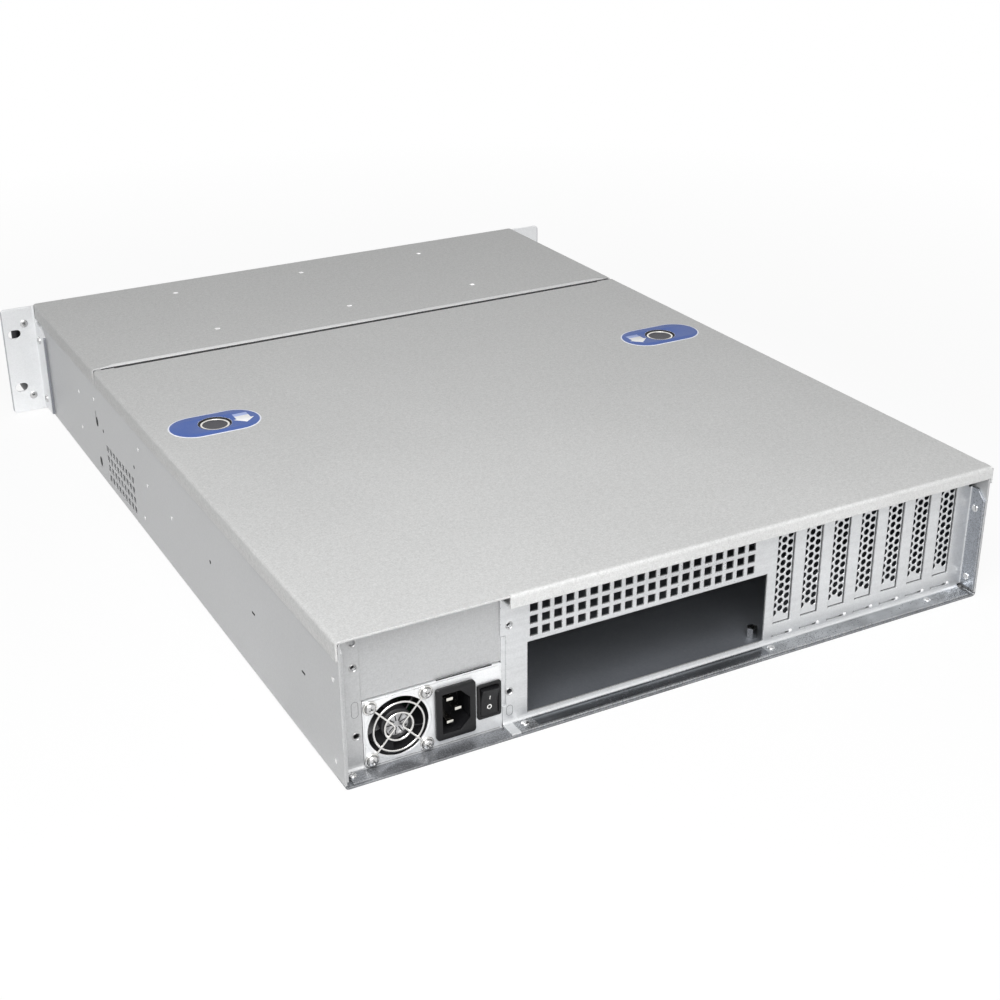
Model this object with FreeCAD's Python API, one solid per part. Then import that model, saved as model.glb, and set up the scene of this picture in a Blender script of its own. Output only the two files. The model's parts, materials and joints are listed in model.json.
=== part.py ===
import FreeCAD, Part
import math
import os
from FreeCAD import Vector

os.makedirs("parts", exist_ok=True)

# An empty 2U rackmount server case in folded steel sheet, seen with its front at -Y and its rear at +Y.
# Millimetres, +Z up, origin at the middle of the tray's underside.

# Overall sizes of the case
body_width = 430.0
body_depth = 600.0
body_height = 88.0
sheet = 1.2
bend = 1.0
bend_flats = 3
fit_gap = 0.2
edge_match = 0.01
seat_gap = 0.3

# Tray, front cover and sliding lid
ledge_width = 12.0
skirt_height = 11.0
front_cover_depth = 170.0
seam_gap = 1.8
seam_flange = 5.0
seam_bend = 1.6
tongue_length = 12.0
lip_height = 8.0

# Finger holes, their labels and the spring latches under them
finger_out = 43.0
finger_y = 4.5
finger_radius = 10.8
label_straight = 26.6
label_radius = 17.6
label_sheet = 0.15
latch_cup_height = 11.0
latch_cup_wall = 1.2
latch_head_gap = 1.2
latch_flange_reach = 1.0
latch_head_drop = 0.5
latch_travel = 3.0
latch_rim = 1.4
latch_dish = 0.6
round_sides = 16

# Rack ears and their handles
ear_reach = 26.3
ear_sheet = 2.0
ear_margin = 2.0
ear_corner = 3.0
ear_flange_depth = 24.0
ear_flange_low = 3.0
ear_flange_gap = 3.0
ear_flange_cut = 8.0
rack_slot_in = 8.75
rack_slot_pitch = 44.45
rack_slot_width = 7.0
rack_slot_length = 10.0
handle_out = 9.3
handle_pitch = 60.0
handle_reach = 38.0
handle_rod = 8.0
handle_bend = 9.0
handle_sides = 8
handle_tapping = 10.0
ear_screw_back = 10.0
ear_screw_low = 12.0
ear_screw_high = 61.0

# Screws
screw_radius = 1.9
screw_head = 3.1
screw_head_height = 1.9
screw_clearance = 0.15
screw_sides = 6
rivet_radius = 2.1
rivet_height = 0.7
rear_rivet_in = 7.0
floor_rivets_near = (5.9, 108.4, 273.9)
floor_rivet_far = 31.4
wall_rivet_heights = (11.0, 58.0)

# Recessed rear panel
rear_recess = 11.6
roll_bend = 2.6
shelf_drop = 4.2
flange_set_back = 0.6
wall_flange_low = 4.2
wall_flange_drop = 10.4
wall_flange_cut = 6.0
divider_step = 3.2
divider_step_low = 14.0
divider_step_high = 57.5
divider_foot_step = 0.9

# Square vents above the connector opening
vent_square = 5.0
vent_pitch = 7.5
vent_columns = 20
vent_rows = 3
vent_in = 146.5
vent_first_z = 55.3

# Connector opening
io_in = 16.4
io_width = 158.75
io_low = 5.5
io_height = 44.45

# Expansion slots and their perforated covers
slot_count = 7
slot_pitch = 20.32
slot_in = 6.35
slot_width = 12.5
slot_low = 14.7
slot_drop = 3.4
slit_low = 6.0
slit_height = 1.3
cover_sheet = 0.9
cover_width = 18.4
cover_foot = 9.0
cover_tab = 10.6
tongue_width = 9.0
tongue_low = 4.8
cover_hole = 1.75
cover_hole_head = 1.8
cover_hole_low = 21.2
cover_hole_rows = 12
slot_screw_in = 5.2

# Bracket beside the power supply and the blank plate above it
strip_width = 14.6
strip_hole_in = 3.5
strip_hole_low = 22.3
strip_hole_middle = 63.2
strip_hole_drop = 9.0
strip_hole_radius = 1.9
divider_hole_in = 5.3
blank_margin = 8.0
blank_gap = 0.6
blank_hole_radius = 1.35

# Power supply
psu_overlap = 0.5
psu_width = 81.5
psu_height = 40.5
psu_depth = 150.0
psu_sheet = 0.9
psu_fan_size = 38.0
psu_fan_depth = 20.0
psu_fan_opening = 18.2
psu_fan_hub = 9.0
psu_fan_holes = 32.0
psu_vent_count = 6
psu_vent_width = 6.0
psu_vent_pitch = 12.0
psu_vent_height = 26.0
guard_wire = 0.65
guard_ring_outer = 14.6
guard_ring_inner = 8.2
guard_eyelet = 2.9
guard_waist = 2.2
psu_board_sheet = 1.6
psu_board_rise = 5.0
psu_board_length = 118.0
psu_board_side = 2.0
psu_board_front = 3.0
psu_post_in = 4.0
psu_post_radius = 2.0
transformer_size = 28.0
transformer_height = 24.0
transformer_place = 46.0
capacitor_radius = 8.0
capacitor_height = 25.0
capacitor_place = 92.0
capacitor_spread = 10.0
fin_sheet = 1.5
fin_length = 30.0
fin_height = 22.0
fin_place = 10.0
fin_spread = (-24.0, -16.0, 14.0, 22.0)

# Power inlet, turned on its side
inlet_in = 28.5
inlet_width = 23.4
inlet_height = 31.6
inlet_flange = 2.6
inlet_body_width = 19.6
inlet_body_height = 27.0
inlet_body_depth = 20.0
inlet_recess_width = 16.2
inlet_recess_height = 24.2
inlet_recess_depth = 15.5
inlet_recess_cut = 5.6
inlet_corner = 2.5
pin_length = 13.0
pin_width = 4.0
pin_thickness = 2.0
pin_spread = 7.0
pin_side = 2.7
earth_side = 2.2

# Rocker switch
rocker_in = 8.1
rocker_frame_width = 14.4
rocker_frame_height = 21.4
rocker_frame_flange = 1.6
rocker_body_depth = 16.0
rocker_wall = 1.7
rocker_clearance = 0.35
rocker_tilt = 8.0
rocker_depth = 7.0
rocker_rise = 2.6
rocker_axis_in = 2.0
rocker_shoulder = 1.0
rocker_well = 2.0
rocker_snap = 1.0

# Front panel and its controls
panel_side_gap = 0.3
panel_flange = 12.0
grille_slot_height = 4.5
grille_slot_pitch = 11.0
grille_slot_count = 6
grille_margin = 9.0
control_in = 16.4
power_button_z = 62.0
reset_button_z = 44.0
power_button_radius = 5.0
reset_button_radius = 2.6
button_clearance = 0.3
button_rise = 2.0
button_flange = 1.2
button_shoulder = 0.4
button_travel = 1.5
button_stem = 5.0
button_stem_radius = 1.5
button_edge = 0.6
button_sides = 12
lamp_radius = 1.5
lamp_first_z = 18.0
lamp_pitch = 8.0
lamp_rise = 0.8
control_board_width = 18.0
control_board_height = 70.0
control_board_sheet = 1.6
control_switch = 7.0
control_switch_depth = 4.0
control_post_in = 4.0
control_post = 2.5

# Drive bays and fan wall
fan_side_gap = 10.4
divider_front = 4.0
divider_depth = 146.0
divider_flange = 11.0
divider_hole_width = 42.0
divider_hole_height = 16.0
divider_hole_count = 2
divider_hole_rows = (26.0, 62.0)
cover_rivet_rows = (30.0, 129.0)
fan_wall_y = -48.0
fan_wall_flange = 14.0
fan_count = 4
fan_head_room = 8.0
fan_depth = 25.0
fan_rise = 1.5
fan_rim = 2.0
fan_hub = 17.0
fan_blades = 5
fan_wall_thick = 1.6
fan_spoke = 4.0
fan_sides = 12
blade_sheet = 1.2
blade_gap = 1.2
blade_tilt = 42.0
blade_root = 0.85
blade_reach = 0.86
hub_set_back = 1.0

# Side walls
side_vent_columns = 9
side_vent_rows = 4
side_vent_first_y = -118.0
side_vent_first_z = 9.6
side_slot_y = -141.0
side_slot_heights = (13.1, 49.5)
side_slot_width = 2.6
side_slot_length = 8.0

# Board standoffs on the tray
board_out = 2.9
board_rear_gap = 2.0
board_hole_side = 6.35
board_hole_rear = 10.16
board_columns = (0.0, 157.48, 281.94)
board_rows = (0.0, 154.94, 227.33)
standoff_height = 6.5
standoff_flats = 6.0
standoff_bore = 1.45

# Places that follow from the sizes
front_y = -body_depth / 2
rear_y = body_depth / 2
skirt_inside = body_width / 2 - sheet
wall_out = skirt_inside - fit_gap
wall_in = wall_out - sheet
lid_under = body_height - sheet
ledge_under = lid_under - sheet
seam_y = front_y + front_cover_depth
lid_front = seam_y + seam_gap
panel_y = rear_y - rear_recess
panel_inside = panel_y - sheet
flange_end = rear_y - flange_set_back
fan_size = body_height - fan_head_room
fan_opening = fan_size / 2 - fan_rim
divider_spacing = (wall_in - fan_side_gap - fan_size / 2) / ((fan_count - 1) / 2)
control_x = wall_in - control_in
finger_x = body_width / 2 - finger_out
ear_span = body_width + 2 * ear_reach
ear_height = body_height - ear_margin
ear_flange_high = body_height - skirt_height - ear_flange_gap
handle_x = body_width / 2 + handle_out
shelf_top = ledge_under - shelf_drop
wall_flange_high = shelf_top - wall_flange_drop
strip_inner = wall_in - strip_width
strip_hole_x = strip_inner + strip_hole_in
strip_hole_heights = (strip_hole_low, strip_hole_middle, lid_under - strip_hole_drop)
psu_right = strip_inner - seat_gap
psu_left = psu_right - psu_width
inlet_x = psu_left + inlet_in
rocker_x = psu_left + rocker_in
divider_edge = psu_left + psu_overlap
divider_hole_x = divider_edge - divider_hole_in
io_right = divider_edge - io_in
slot_first = io_right - io_width - slot_in
slot_high = shelf_top - slot_drop
cover_hole_pitch = (slot_high - cover_hole_head - cover_hole_low) / (cover_hole_rows - 1)
vent_first_x = io_right - vent_in
board_right = io_right + board_out
psu_z = sheet + psu_height / 2
psu_front = panel_y - psu_depth


def box(x0, x1, y0, y1, z0, z1):
    return Part.makeBox(x1 - x0, y1 - y0, z1 - z0, Vector(x0, y0, z0))


def rod(radius, start, direction, length):
    return Part.makeCylinder(radius, length, start, direction)


def corner_direction(direction):
    """Where the first corner of a prism or a faceted shape along the direction lies."""
    return Vector(0, 0, 1) if abs(direction.z) < 0.5 else Vector(1, 0, 0)


def prism(radius, sides, centre, direction, length):
    """A regular prism whose corners lie at the radius, drawn across the direction."""
    across = corner_direction(direction)
    other = direction.cross(across)
    corners = []
    for i in range(sides + 1):
        angle = 2 * math.pi * i / sides
        corners.append(centre + across * (radius * math.cos(angle)) + other * (radius * math.sin(angle)))
    return Part.Face(Part.makePolygon(corners)).extrude(direction * length)


def faceted(points, centre, direction, sides):
    """A turned shape with flat facets, from (radius, height) points. A profile that doesn't start
    and end on the axis closes on itself, as a ring."""
    across = corner_direction(direction)
    other = direction.cross(across)
    turns = [2 * math.pi * i / sides for i in range(sides + 1)]
    rings = [[centre + direction * h + across * (r * math.cos(a)) + other * (r * math.sin(a)) for a in turns]
             for r, h in points]
    faces = []
    solid_core = points[0][0] == 0
    pairs = list(zip(range(len(points)), range(1, len(points))))
    if not solid_core:
        pairs.append((len(points) - 1, 0))
    for a, b in pairs:
        if points[a][0] == 0 or points[b][0] == 0:
            rim = rings[b] if points[a][0] == 0 else rings[a]
            tip = rings[a][0] if points[a][0] == 0 else rings[b][0]
            if abs(points[a][1] - points[b][1]) < 1e-9:
                faces.append(Part.Face(Part.makePolygon(rim)))
            else:
                faces += [Part.Face(Part.makePolygon([tip, rim[i], rim[i + 1], tip])) for i in range(sides)]
            continue
        for i in range(sides):
            corners = [rings[a][i], rings[a][i + 1], rings[b][i + 1], rings[b][i], rings[a][i]]
            faces.append(Part.Face(Part.makePolygon(corners)))
    solid = Part.Solid(Part.Shell(faces))
    return solid if solid.Volume > 0 else solid.reversed()


def wedge(near, far):
    """A flat-faced solid between two outlines with as many corners and parallel sides."""
    outlines = [near, far]
    for i, corner in enumerate(near):
        after = (i + 1) % len(near)
        outlines.append([corner, near[after], far[after], far[i]])
    solid = Part.Solid(Part.Shell([Part.Face(Part.makePolygon(item + item[:1])) for item in outlines]))
    return solid if solid.Volume > 0 else solid.reversed()


def unit(a, b):
    length = math.hypot(b[0] - a[0], b[1] - a[1])
    return ((b[0] - a[0]) / length, (b[1] - a[1]) / length)


def turn_between(before, after):
    """The signed angle from one unit direction to the next, positive to the left."""
    turned = before[0] * after[1] - before[1] * after[0]
    ahead = before[0] * after[0] + before[1] * after[1]
    return math.atan2(turned, ahead)


def shifted(points, distance):
    """The path moved sideways by the distance, to its left where that is positive."""
    result = []
    for i, point in enumerate(points):
        before = unit(points[i - 1], point) if i else None
        after = unit(point, points[i + 1]) if i < len(points) - 1 else None
        before = before or after
        after = after or before
        scale = distance / (1 + before[0] * after[0] + before[1] * after[1])
        result.append((point[0] - (before[1] + after[1]) * scale, point[1] + (before[0] + after[0]) * scale))
    return result


def rounded(points, radii, place):
    """Edges along the path. Each inner corner is turned round the given radius in a few flats."""
    corners = [points[0]]
    for i in range(1, len(points) - 1):
        before = unit(points[i - 1], points[i])
        after = unit(points[i], points[i + 1])
        angle = turn_between(before, after)
        reach = radii[i] * math.tan(abs(angle) / 2)
        hand = math.copysign(1.0, angle)
        start = (points[i][0] - before[0] * reach, points[i][1] - before[1] * reach)
        centre = (start[0] - before[1] * hand * radii[i], start[1] + before[0] * hand * radii[i])
        for step in range(bend_flats + 1):
            turn = angle * step / bend_flats
            arm = (start[0] - centre[0], start[1] - centre[1])
            corners.append((centre[0] + arm[0] * math.cos(turn) - arm[1] * math.sin(turn),
                            centre[1] + arm[0] * math.sin(turn) + arm[1] * math.cos(turn)))
    corners.append(points[-1])
    return [Part.LineSegment(place(*a), place(*b)).toShape() for a, b in zip(corners, corners[1:])
            if math.dist(a, b) > 1e-6]


def folded(points, thickness, place, run, inner_bend=bend, bends=None):
    """A folded sheet: one face follows the points, the sheet lies to the left of the path or,
    with a negative thickness, to its right, and the section runs along the given vector."""
    other = shifted(points, thickness)
    near = [0.0]
    far = [0.0]
    for i in range(1, len(points) - 1):
        before = unit(points[i - 1], points[i])
        after = unit(points[i], points[i + 1])
        inside = turn_between(before, after) * thickness > 0
        radius = bends.get(i, inner_bend) if bends else inner_bend
        near.append(radius + abs(thickness) if inside else radius)
        far.append(radius if inside else radius + abs(thickness))
    edges = rounded(points, near + [0.0], place)
    edges.append(Part.LineSegment(place(*points[-1]), place(*other[-1])).toShape())
    edges += rounded(other[::-1], (far + [0.0])[::-1], place)
    edges.append(Part.LineSegment(place(*other[0]), place(*points[0])).toShape())
    return Part.Face(Part.Wire(edges)).extrude(run)


def obround(length, width, centre, along, through, depth):
    """A cutter with two round ends, centred on the point and run along the through vector."""
    side = through.cross(along)
    half = along * ((length - width) / 2)
    lift = side * (width / 2)
    tip = along * (width / 2)
    edges = [Part.LineSegment(centre - half - lift, centre + half - lift).toShape(),
             Part.Arc(centre + half - lift, centre + half + tip, centre + half + lift).toShape(),
             Part.LineSegment(centre + half + lift, centre - half + lift).toShape(),
             Part.Arc(centre - half + lift, centre - half - tip, centre - half - lift).toShape()]
    return Part.Face(Part.Wire(edges)).extrude(through * depth)


def one_solid(shape):
    """The single solid of a boolean result, with its split faces joined again."""
    shape = shape.removeSplitter()
    return shape.Solids[0] if len(shape.Solids) == 1 else shape


def cut(shape, cutters):
    return one_solid(shape.cut(Part.makeCompound(cutters)))


def joined(shapes):
    return one_solid(shapes[0].multiFuse(shapes[1:]))


def mirrored(shape):
    return shape.mirror(Vector(0, 0, 0), Vector(1, 0, 0))


def save(name, shape):
    shape.exportStep("parts/" + name + ".step")


X = Vector(1, 0, 0)
Y = Vector(0, 1, 0)
Z = Vector(0, 0, 1)


def across(y):
    """Puts (x, z) points in the upright plane at y."""
    return lambda a, b: Vector(a, y, b)


def beside(x):
    """Puts (y, z) points in the upright plane at x."""
    return lambda a, b: Vector(x, a, b)


def above(z):
    """Puts (x, y) points in the level plane at z."""
    return lambda a, b: Vector(a, b, z)


def floor_corner_cuts(y0, y1):
    """Cutters that keep a cross piece clear of the two bends between the floor and the walls."""
    inner = wall_in - bend - fit_gap
    return [box(side, side + bend + 2 * fit_gap, y0, y1, 0.0, sheet + bend + fit_gap)
            for side in (inner, -inner - bend - 2 * fit_gap)]


# Base tray: floor, two walls and the ledges that carry the lid, folded from one sheet
def make_base_tray():
    section = [(wall_out - ledge_width, lid_under), (wall_out, lid_under), (wall_out, 0.0),
               (-wall_out, 0.0), (-wall_out, lid_under), (-wall_out + ledge_width, lid_under)]
    tray = folded(section, -sheet, across(front_y), Y * body_depth)
    lip_clearance = sheet + seat_gap
    cutters = [box(-wall_out - fit_gap, -wall_in + fit_gap, rear_y - lip_clearance, rear_y + fit_gap,
                   body_height - lip_height - seat_gap, body_height)]
    ledge_reach = ledge_width + sheet
    for side in (-1, 1):
        inner = side * (wall_in - ledge_reach)
        outer = side * wall_in
        low, high = min(inner, outer), max(inner, outer)
        ledge_top = ledge_under - bend
        cutters.append(box(low, high, front_y, front_y + sheet + fit_gap, ledge_top, body_height))
        cutters.append(box(low, high, panel_inside - sheet - fit_gap, rear_y, ledge_top, body_height))
        wall_start = wall_in - fit_gap if side > 0 else -wall_out - fit_gap
        wall_depth = wall_start + sheet + 2 * fit_gap
        half = vent_square / 2
        for column in range(side_vent_columns if side > 0 else 0):
            for row in range(side_vent_rows):
                y = side_vent_first_y + column * vent_pitch
                z = side_vent_first_z + row * vent_pitch
                cutters.append(box(wall_start, wall_depth, y - half, y + half, z - half, z + half))
        for z in side_slot_heights:
            cutters.append(box(wall_start, wall_depth,
                               side_slot_y - side_slot_width / 2, side_slot_y + side_slot_width / 2,
                               z - side_slot_length / 2, z + side_slot_length / 2))
        for z in (ear_screw_low, ear_screw_high):
            start = Vector(wall_start, front_y + ear_screw_back, z)
            cutters.append(prism(screw_radius + screw_clearance, screw_sides, start, X, sheet + 2 * fit_gap))
    return cut(tray, cutters)


# Fixed cover over the drive bays, with a rolled rear edge at the seam
def make_front_cover():
    skirt_low = body_height - skirt_height
    half = body_width / 2
    section = [(half, skirt_low), (half, body_height), (-half, body_height), (-half, skirt_low)]
    cover = folded(section, sheet, across(front_y), Y * (front_cover_depth - sheet - seam_bend))
    edge = [(seam_y - sheet - seam_bend, body_height), (seam_y, body_height),
            (seam_y, body_height - seam_flange)]
    edge_half = wall_in - ledge_width - seat_gap
    rolled = folded(edge, -sheet, beside(-edge_half), X * (2 * edge_half), seam_bend - seat_gap)
    return joined([cover, rolled])


# Sliding lid: skirts, a stepped front tongue, a rear lip and two finger holes
def make_lid():
    skirt_low = body_height - skirt_height
    half = body_width / 2
    section = [(half, skirt_low), (half, body_height), (-half, body_height), (-half, skirt_low)]
    plate_start = lid_front + sheet + bend
    plate_end = rear_y - lip_height
    lid = folded(section, sheet, across(lid_front), Y * (rear_y - lid_front))
    tongue_half = wall_in - ledge_width - 2 * seat_gap
    above_lid = body_height + sheet
    lid = lid.cut(box(-tongue_half, tongue_half, lid_front - fit_gap, plate_start, ledge_under, above_lid))
    step_top = body_height - seam_flange - seat_gap
    step = [(seam_y - tongue_length, step_top), (lid_front, step_top), (lid_front, body_height),
            (plate_start, body_height)]
    tongue = folded(step, -sheet, beside(-tongue_half), X * (2 * tongue_half), seat_gap)
    lip_low = -skirt_inside
    lid = lid.cut(box(lip_low, divider_edge, plate_end, rear_y + fit_gap, ledge_under, above_lid))
    fold = [(plate_end, body_height), (rear_y, body_height), (rear_y, body_height - lip_height)]
    lip = folded(fold, -sheet, beside(lip_low), X * (divider_edge - lip_low))
    holes = []
    for side in (-1, 1):
        start = Vector(side * finger_x, finger_y, lid_under - fit_gap)
        holes.append(prism(finger_radius, round_sides, start, Z, sheet + 2 * fit_gap))
    return cut(joined([lid, tongue, lip]), holes)


# Blue label round a finger hole
def make_release_label(side):
    centre = Vector(side * finger_x, finger_y, body_height)
    rim = []
    for i in range(round_sides + 2):
        turn = math.pi * (2 * (i - (i > round_sides // 2)) / round_sides - 0.5)
        end = label_straight / 2 if i <= round_sides // 2 else -label_straight / 2
        rim.append(centre + X * (end + label_radius * math.cos(turn)) + Y * (label_radius * math.sin(turn)))
    outline = Part.Face(Part.makePolygon(rim + rim[:1])).extrude(Z * label_sheet)
    through = label_sheet + 2 * fit_gap
    return cut(outline, [prism(finger_radius, round_sides, centre - Z * fit_gap, Z, through)])


# Cup under the lid that guides the latch button
def make_latch_cup(side):
    inner = finger_radius + latch_flange_reach + seat_gap
    top = lid_under
    low = top - latch_cup_height
    points = [(0, low), (inner + latch_cup_wall, low), (inner + latch_cup_wall, top), (inner, top),
              (inner, low + latch_cup_wall), (0, low + latch_cup_wall)]
    return faceted(points, Vector(side * finger_x, finger_y, 0), Z, round_sides)


# Round latch button with a raised rim, held under the lid by its flange
def make_latch_button(side):
    head = finger_radius - latch_head_gap
    flange = finger_radius + latch_flange_reach
    top = body_height - latch_head_drop
    flange_top = lid_under - seat_gap
    low = lid_under - latch_cup_height + latch_cup_wall + latch_travel + seat_gap
    points = [(0, low), (flange, low), (flange, flange_top), (head, flange_top), (head, top),
              (head - latch_rim, top), (head - latch_rim, top - latch_dish), (0, top - latch_dish)]
    return faceted(points, Vector(side * finger_x, finger_y, 0), Z, round_sides)


# Rack ear: front plate with two rack slots and a flange on the wall, folded from one sheet
def make_ear():
    ear_low = body_height / 2 - ear_height / 2
    outer = ear_span / 2
    flange_end_y = front_y + ear_flange_depth
    section = [(wall_out, flange_end_y), (wall_out, front_y), (outer, front_y)]
    ear = folded(section, ear_sheet, above(ear_low), Z * ear_height)
    beyond = wall_out + ear_sheet
    clear_y = front_y + ear_sheet + bend
    past_y = flange_end_y + fit_gap
    near_x = wall_out - fit_gap
    width = ear_sheet + 2 * fit_gap
    outline = [(clear_y, ear_flange_high), (flange_end_y - ear_flange_cut, ear_flange_high),
               (flange_end_y, ear_flange_high - ear_flange_cut), (past_y, ear_flange_high - ear_flange_cut),
               (past_y, body_height), (clear_y, body_height)]
    top_cut = [Vector(near_x, y, z) for y, z in outline]
    skirt_low = body_height - skirt_height - seat_gap
    cutters = [Part.Face(Part.makePolygon(top_cut + top_cut[:1])).extrude(X * width),
               box(near_x, beyond + fit_gap, clear_y, past_y, 0.0, ear_flange_low),
               box(near_x, body_width / 2 + seat_gap, front_y - fit_gap, clear_y + fit_gap,
                   skirt_low, body_height)]
    for level in (-0.5, 0.5):
        slot = Vector(outer - rack_slot_in, front_y - fit_gap, body_height / 2 + level * rack_slot_pitch)
        cutters.append(obround(rack_slot_length, rack_slot_width, slot, X, Y, ear_sheet + 2 * fit_gap))
        screw = Vector(handle_x, front_y - fit_gap, body_height / 2 + level * handle_pitch)
        cutters.append(prism(screw_radius + screw_clearance, screw_sides, screw, Y, ear_sheet + 2 * fit_gap))
    for z in (ear_screw_low, ear_screw_high):
        start = Vector(near_x, front_y + ear_screw_back, z)
        cutters.append(prism(screw_radius + screw_clearance, screw_sides, start, X, width))
    ear = cut(ear, cutters)
    corners = [edge for edge in ear.Edges
               if abs(edge.Length - ear_sheet) < edge_match
               and abs(edge.CenterOfMass.x - outer) < edge_match
               and abs(edge.CenterOfMass.y - front_y - ear_sheet / 2) < edge_match]
    return one_solid(ear.makeFillet(ear_corner, corners))


# Bow handle in front of the ear, tapped at both feet for its screws
def make_handle():
    low = body_height / 2 - handle_pitch / 2
    high = body_height / 2 + handle_pitch / 2
    reach = front_y - handle_reach + handle_rod / 2
    path = [Vector(handle_x, front_y, low)]
    steps = 4
    for z, first in ((low + handle_bend, -90), (high - handle_bend, -180)):
        for i in range(steps + 1):
            turn = math.radians(first - 90.0 * i / steps)
            path.append(Vector(handle_x, reach + handle_bend + handle_bend * math.cos(turn),
                               z + handle_bend * math.sin(turn)))
    path.append(Vector(handle_x, front_y, high))
    corners = []
    for i in range(handle_sides + 1):
        turn = 2 * math.pi * i / handle_sides
        corners.append(path[0] + (X * math.cos(turn) + Z * math.sin(turn)) * (handle_rod / 2))
    bow = Part.Wire(Part.makePolygon(path)).makePipeShell([Part.makePolygon(corners)], True, False, 1)
    bore = screw_radius + screw_clearance
    bores = [prism(bore, screw_sides, Vector(handle_x, front_y + fit_gap, z), -Y, handle_tapping + fit_gap)
             for z in (low, high)]
    return cut(bow, bores)


def screw(centre, direction, length):
    """A pan-head screw: the head stands on the centre, and the shank runs against the direction."""
    points = [(0, -length), (screw_radius, -length), (screw_radius, 0), (screw_head, 0),
              (screw_head * 0.7, screw_head_height), (0, screw_head_height)]
    return faceted(points, centre, direction, screw_sides)


def make_handle_screws():
    screws = []
    for level in (-0.5, 0.5):
        centre = Vector(handle_x, front_y + ear_sheet, body_height / 2 + level * handle_pitch)
        screws.append(screw(centre, Y, handle_tapping))
    return Part.makeCompound(screws + [mirrored(item) for item in screws])


def make_ear_screws():
    screws = []
    for z in (ear_screw_low, ear_screw_high):
        centre = Vector(wall_out + ear_sheet, front_y + ear_screw_back, z)
        screws.append(screw(centre, X, ear_sheet + sheet))
    return Part.makeCompound(screws + [mirrored(item) for item in screws])


def wall_flange(side, top):
    """The upright flange of a rear plate, folded back along one wall, with a cut top corner."""
    reach = sheet + roll_bend
    outer = side * wall_in
    section = [(side * (wall_in - reach), panel_inside), (outer, panel_inside), (outer, flange_end)]
    flange = folded(section, sheet * side, above(wall_flange_low), Z * (top - wall_flange_low))
    low_x = min(outer, outer - side * sheet) - fit_gap
    corner = [(flange_end - wall_flange_cut, top), (flange_end, top - wall_flange_cut),
              (flange_end + fit_gap, top + fit_gap)]
    points = [Vector(low_x, y, z) for y, z in corner]
    notch = Part.Face(Part.makePolygon(points + points[:1])).extrude(X * (sheet + 2 * fit_gap))
    return flange.cut(notch)


# Rear panel: rolled floor flange, screw shelf, wall flange, vents, connector opening and slot windows
def make_rear_panel():
    left = -wall_in + sheet + roll_bend
    section = [(flange_end, sheet), (panel_inside, sheet), (panel_inside, shelf_top),
               (flange_end - sheet - seat_gap, shelf_top)]
    panel = folded(section, -sheet, beside(left), X * (divider_edge - left), bends={1: roll_bend, 2: bend})
    panel = joined([panel, wall_flange(-1, wall_flange_high)])
    cutters = []
    near, far = panel_inside - fit_gap, panel_y + fit_gap
    half = vent_square / 2
    for column in range(vent_columns):
        for row in range(vent_rows):
            x = vent_first_x + column * vent_pitch
            z = vent_first_z + row * vent_pitch
            cutters.append(box(x - half, x + half, near, far, z - half, z + half))
    cutters.append(box(io_right - io_width, io_right, near, far, io_low, io_low + io_height))
    for slot in range(slot_count):
        x = slot_first - slot * slot_pitch
        cutters.append(box(x - slot_width, x, near, far, slot_low, slot_high))
        cutters.append(box(x - slot_width, x, near, far, slit_low, slit_low + slit_height))
    step_x = divider_edge - divider_step
    cutters.append(box(step_x, divider_edge + fit_gap, near, far, divider_step_low, divider_step_high))
    foot_x = divider_edge - divider_foot_step
    cutters.append(box(foot_x, divider_edge + fit_gap, near, rear_y, 0.0, divider_step_low))
    for z in strip_hole_heights:
        start = Vector(divider_hole_x, near, z)
        cutters.append(prism(strip_hole_radius, screw_sides, start, Y, sheet + 2 * fit_gap))
    return cut(panel, cutters)


# Narrow bracket between the power supply and the wall
def make_psu_bracket():
    right = wall_in - sheet - roll_bend
    top = lid_under - fit_gap
    strip = folded([(flange_end, sheet), (panel_inside, sheet), (panel_inside, top)], -sheet,
                   beside(strip_inner), X * (right - strip_inner), roll_bend)
    near = panel_inside - fit_gap
    holes = [prism(strip_hole_radius, screw_sides, Vector(strip_hole_x, near, z), Y, sheet + 2 * fit_gap)
             for z in strip_hole_heights]
    return cut(joined([strip, wall_flange(1, top)]), holes)


# Blank plate that closes the rear above the power supply
def make_blank_plate():
    left = divider_edge - divider_step - blank_margin
    right = strip_inner + blank_margin
    low = sheet + psu_height + blank_gap
    plate = box(left, right, panel_inside - sheet, panel_inside, low, lid_under - fit_gap)
    holes = [prism(blank_hole_radius, screw_sides, Vector(x, panel_inside - 2 * sheet, strip_hole_heights[1]),
                   Y, 3 * sheet)
             for x in (strip_hole_x, divider_hole_x)]
    return cut(plate, holes)


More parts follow.
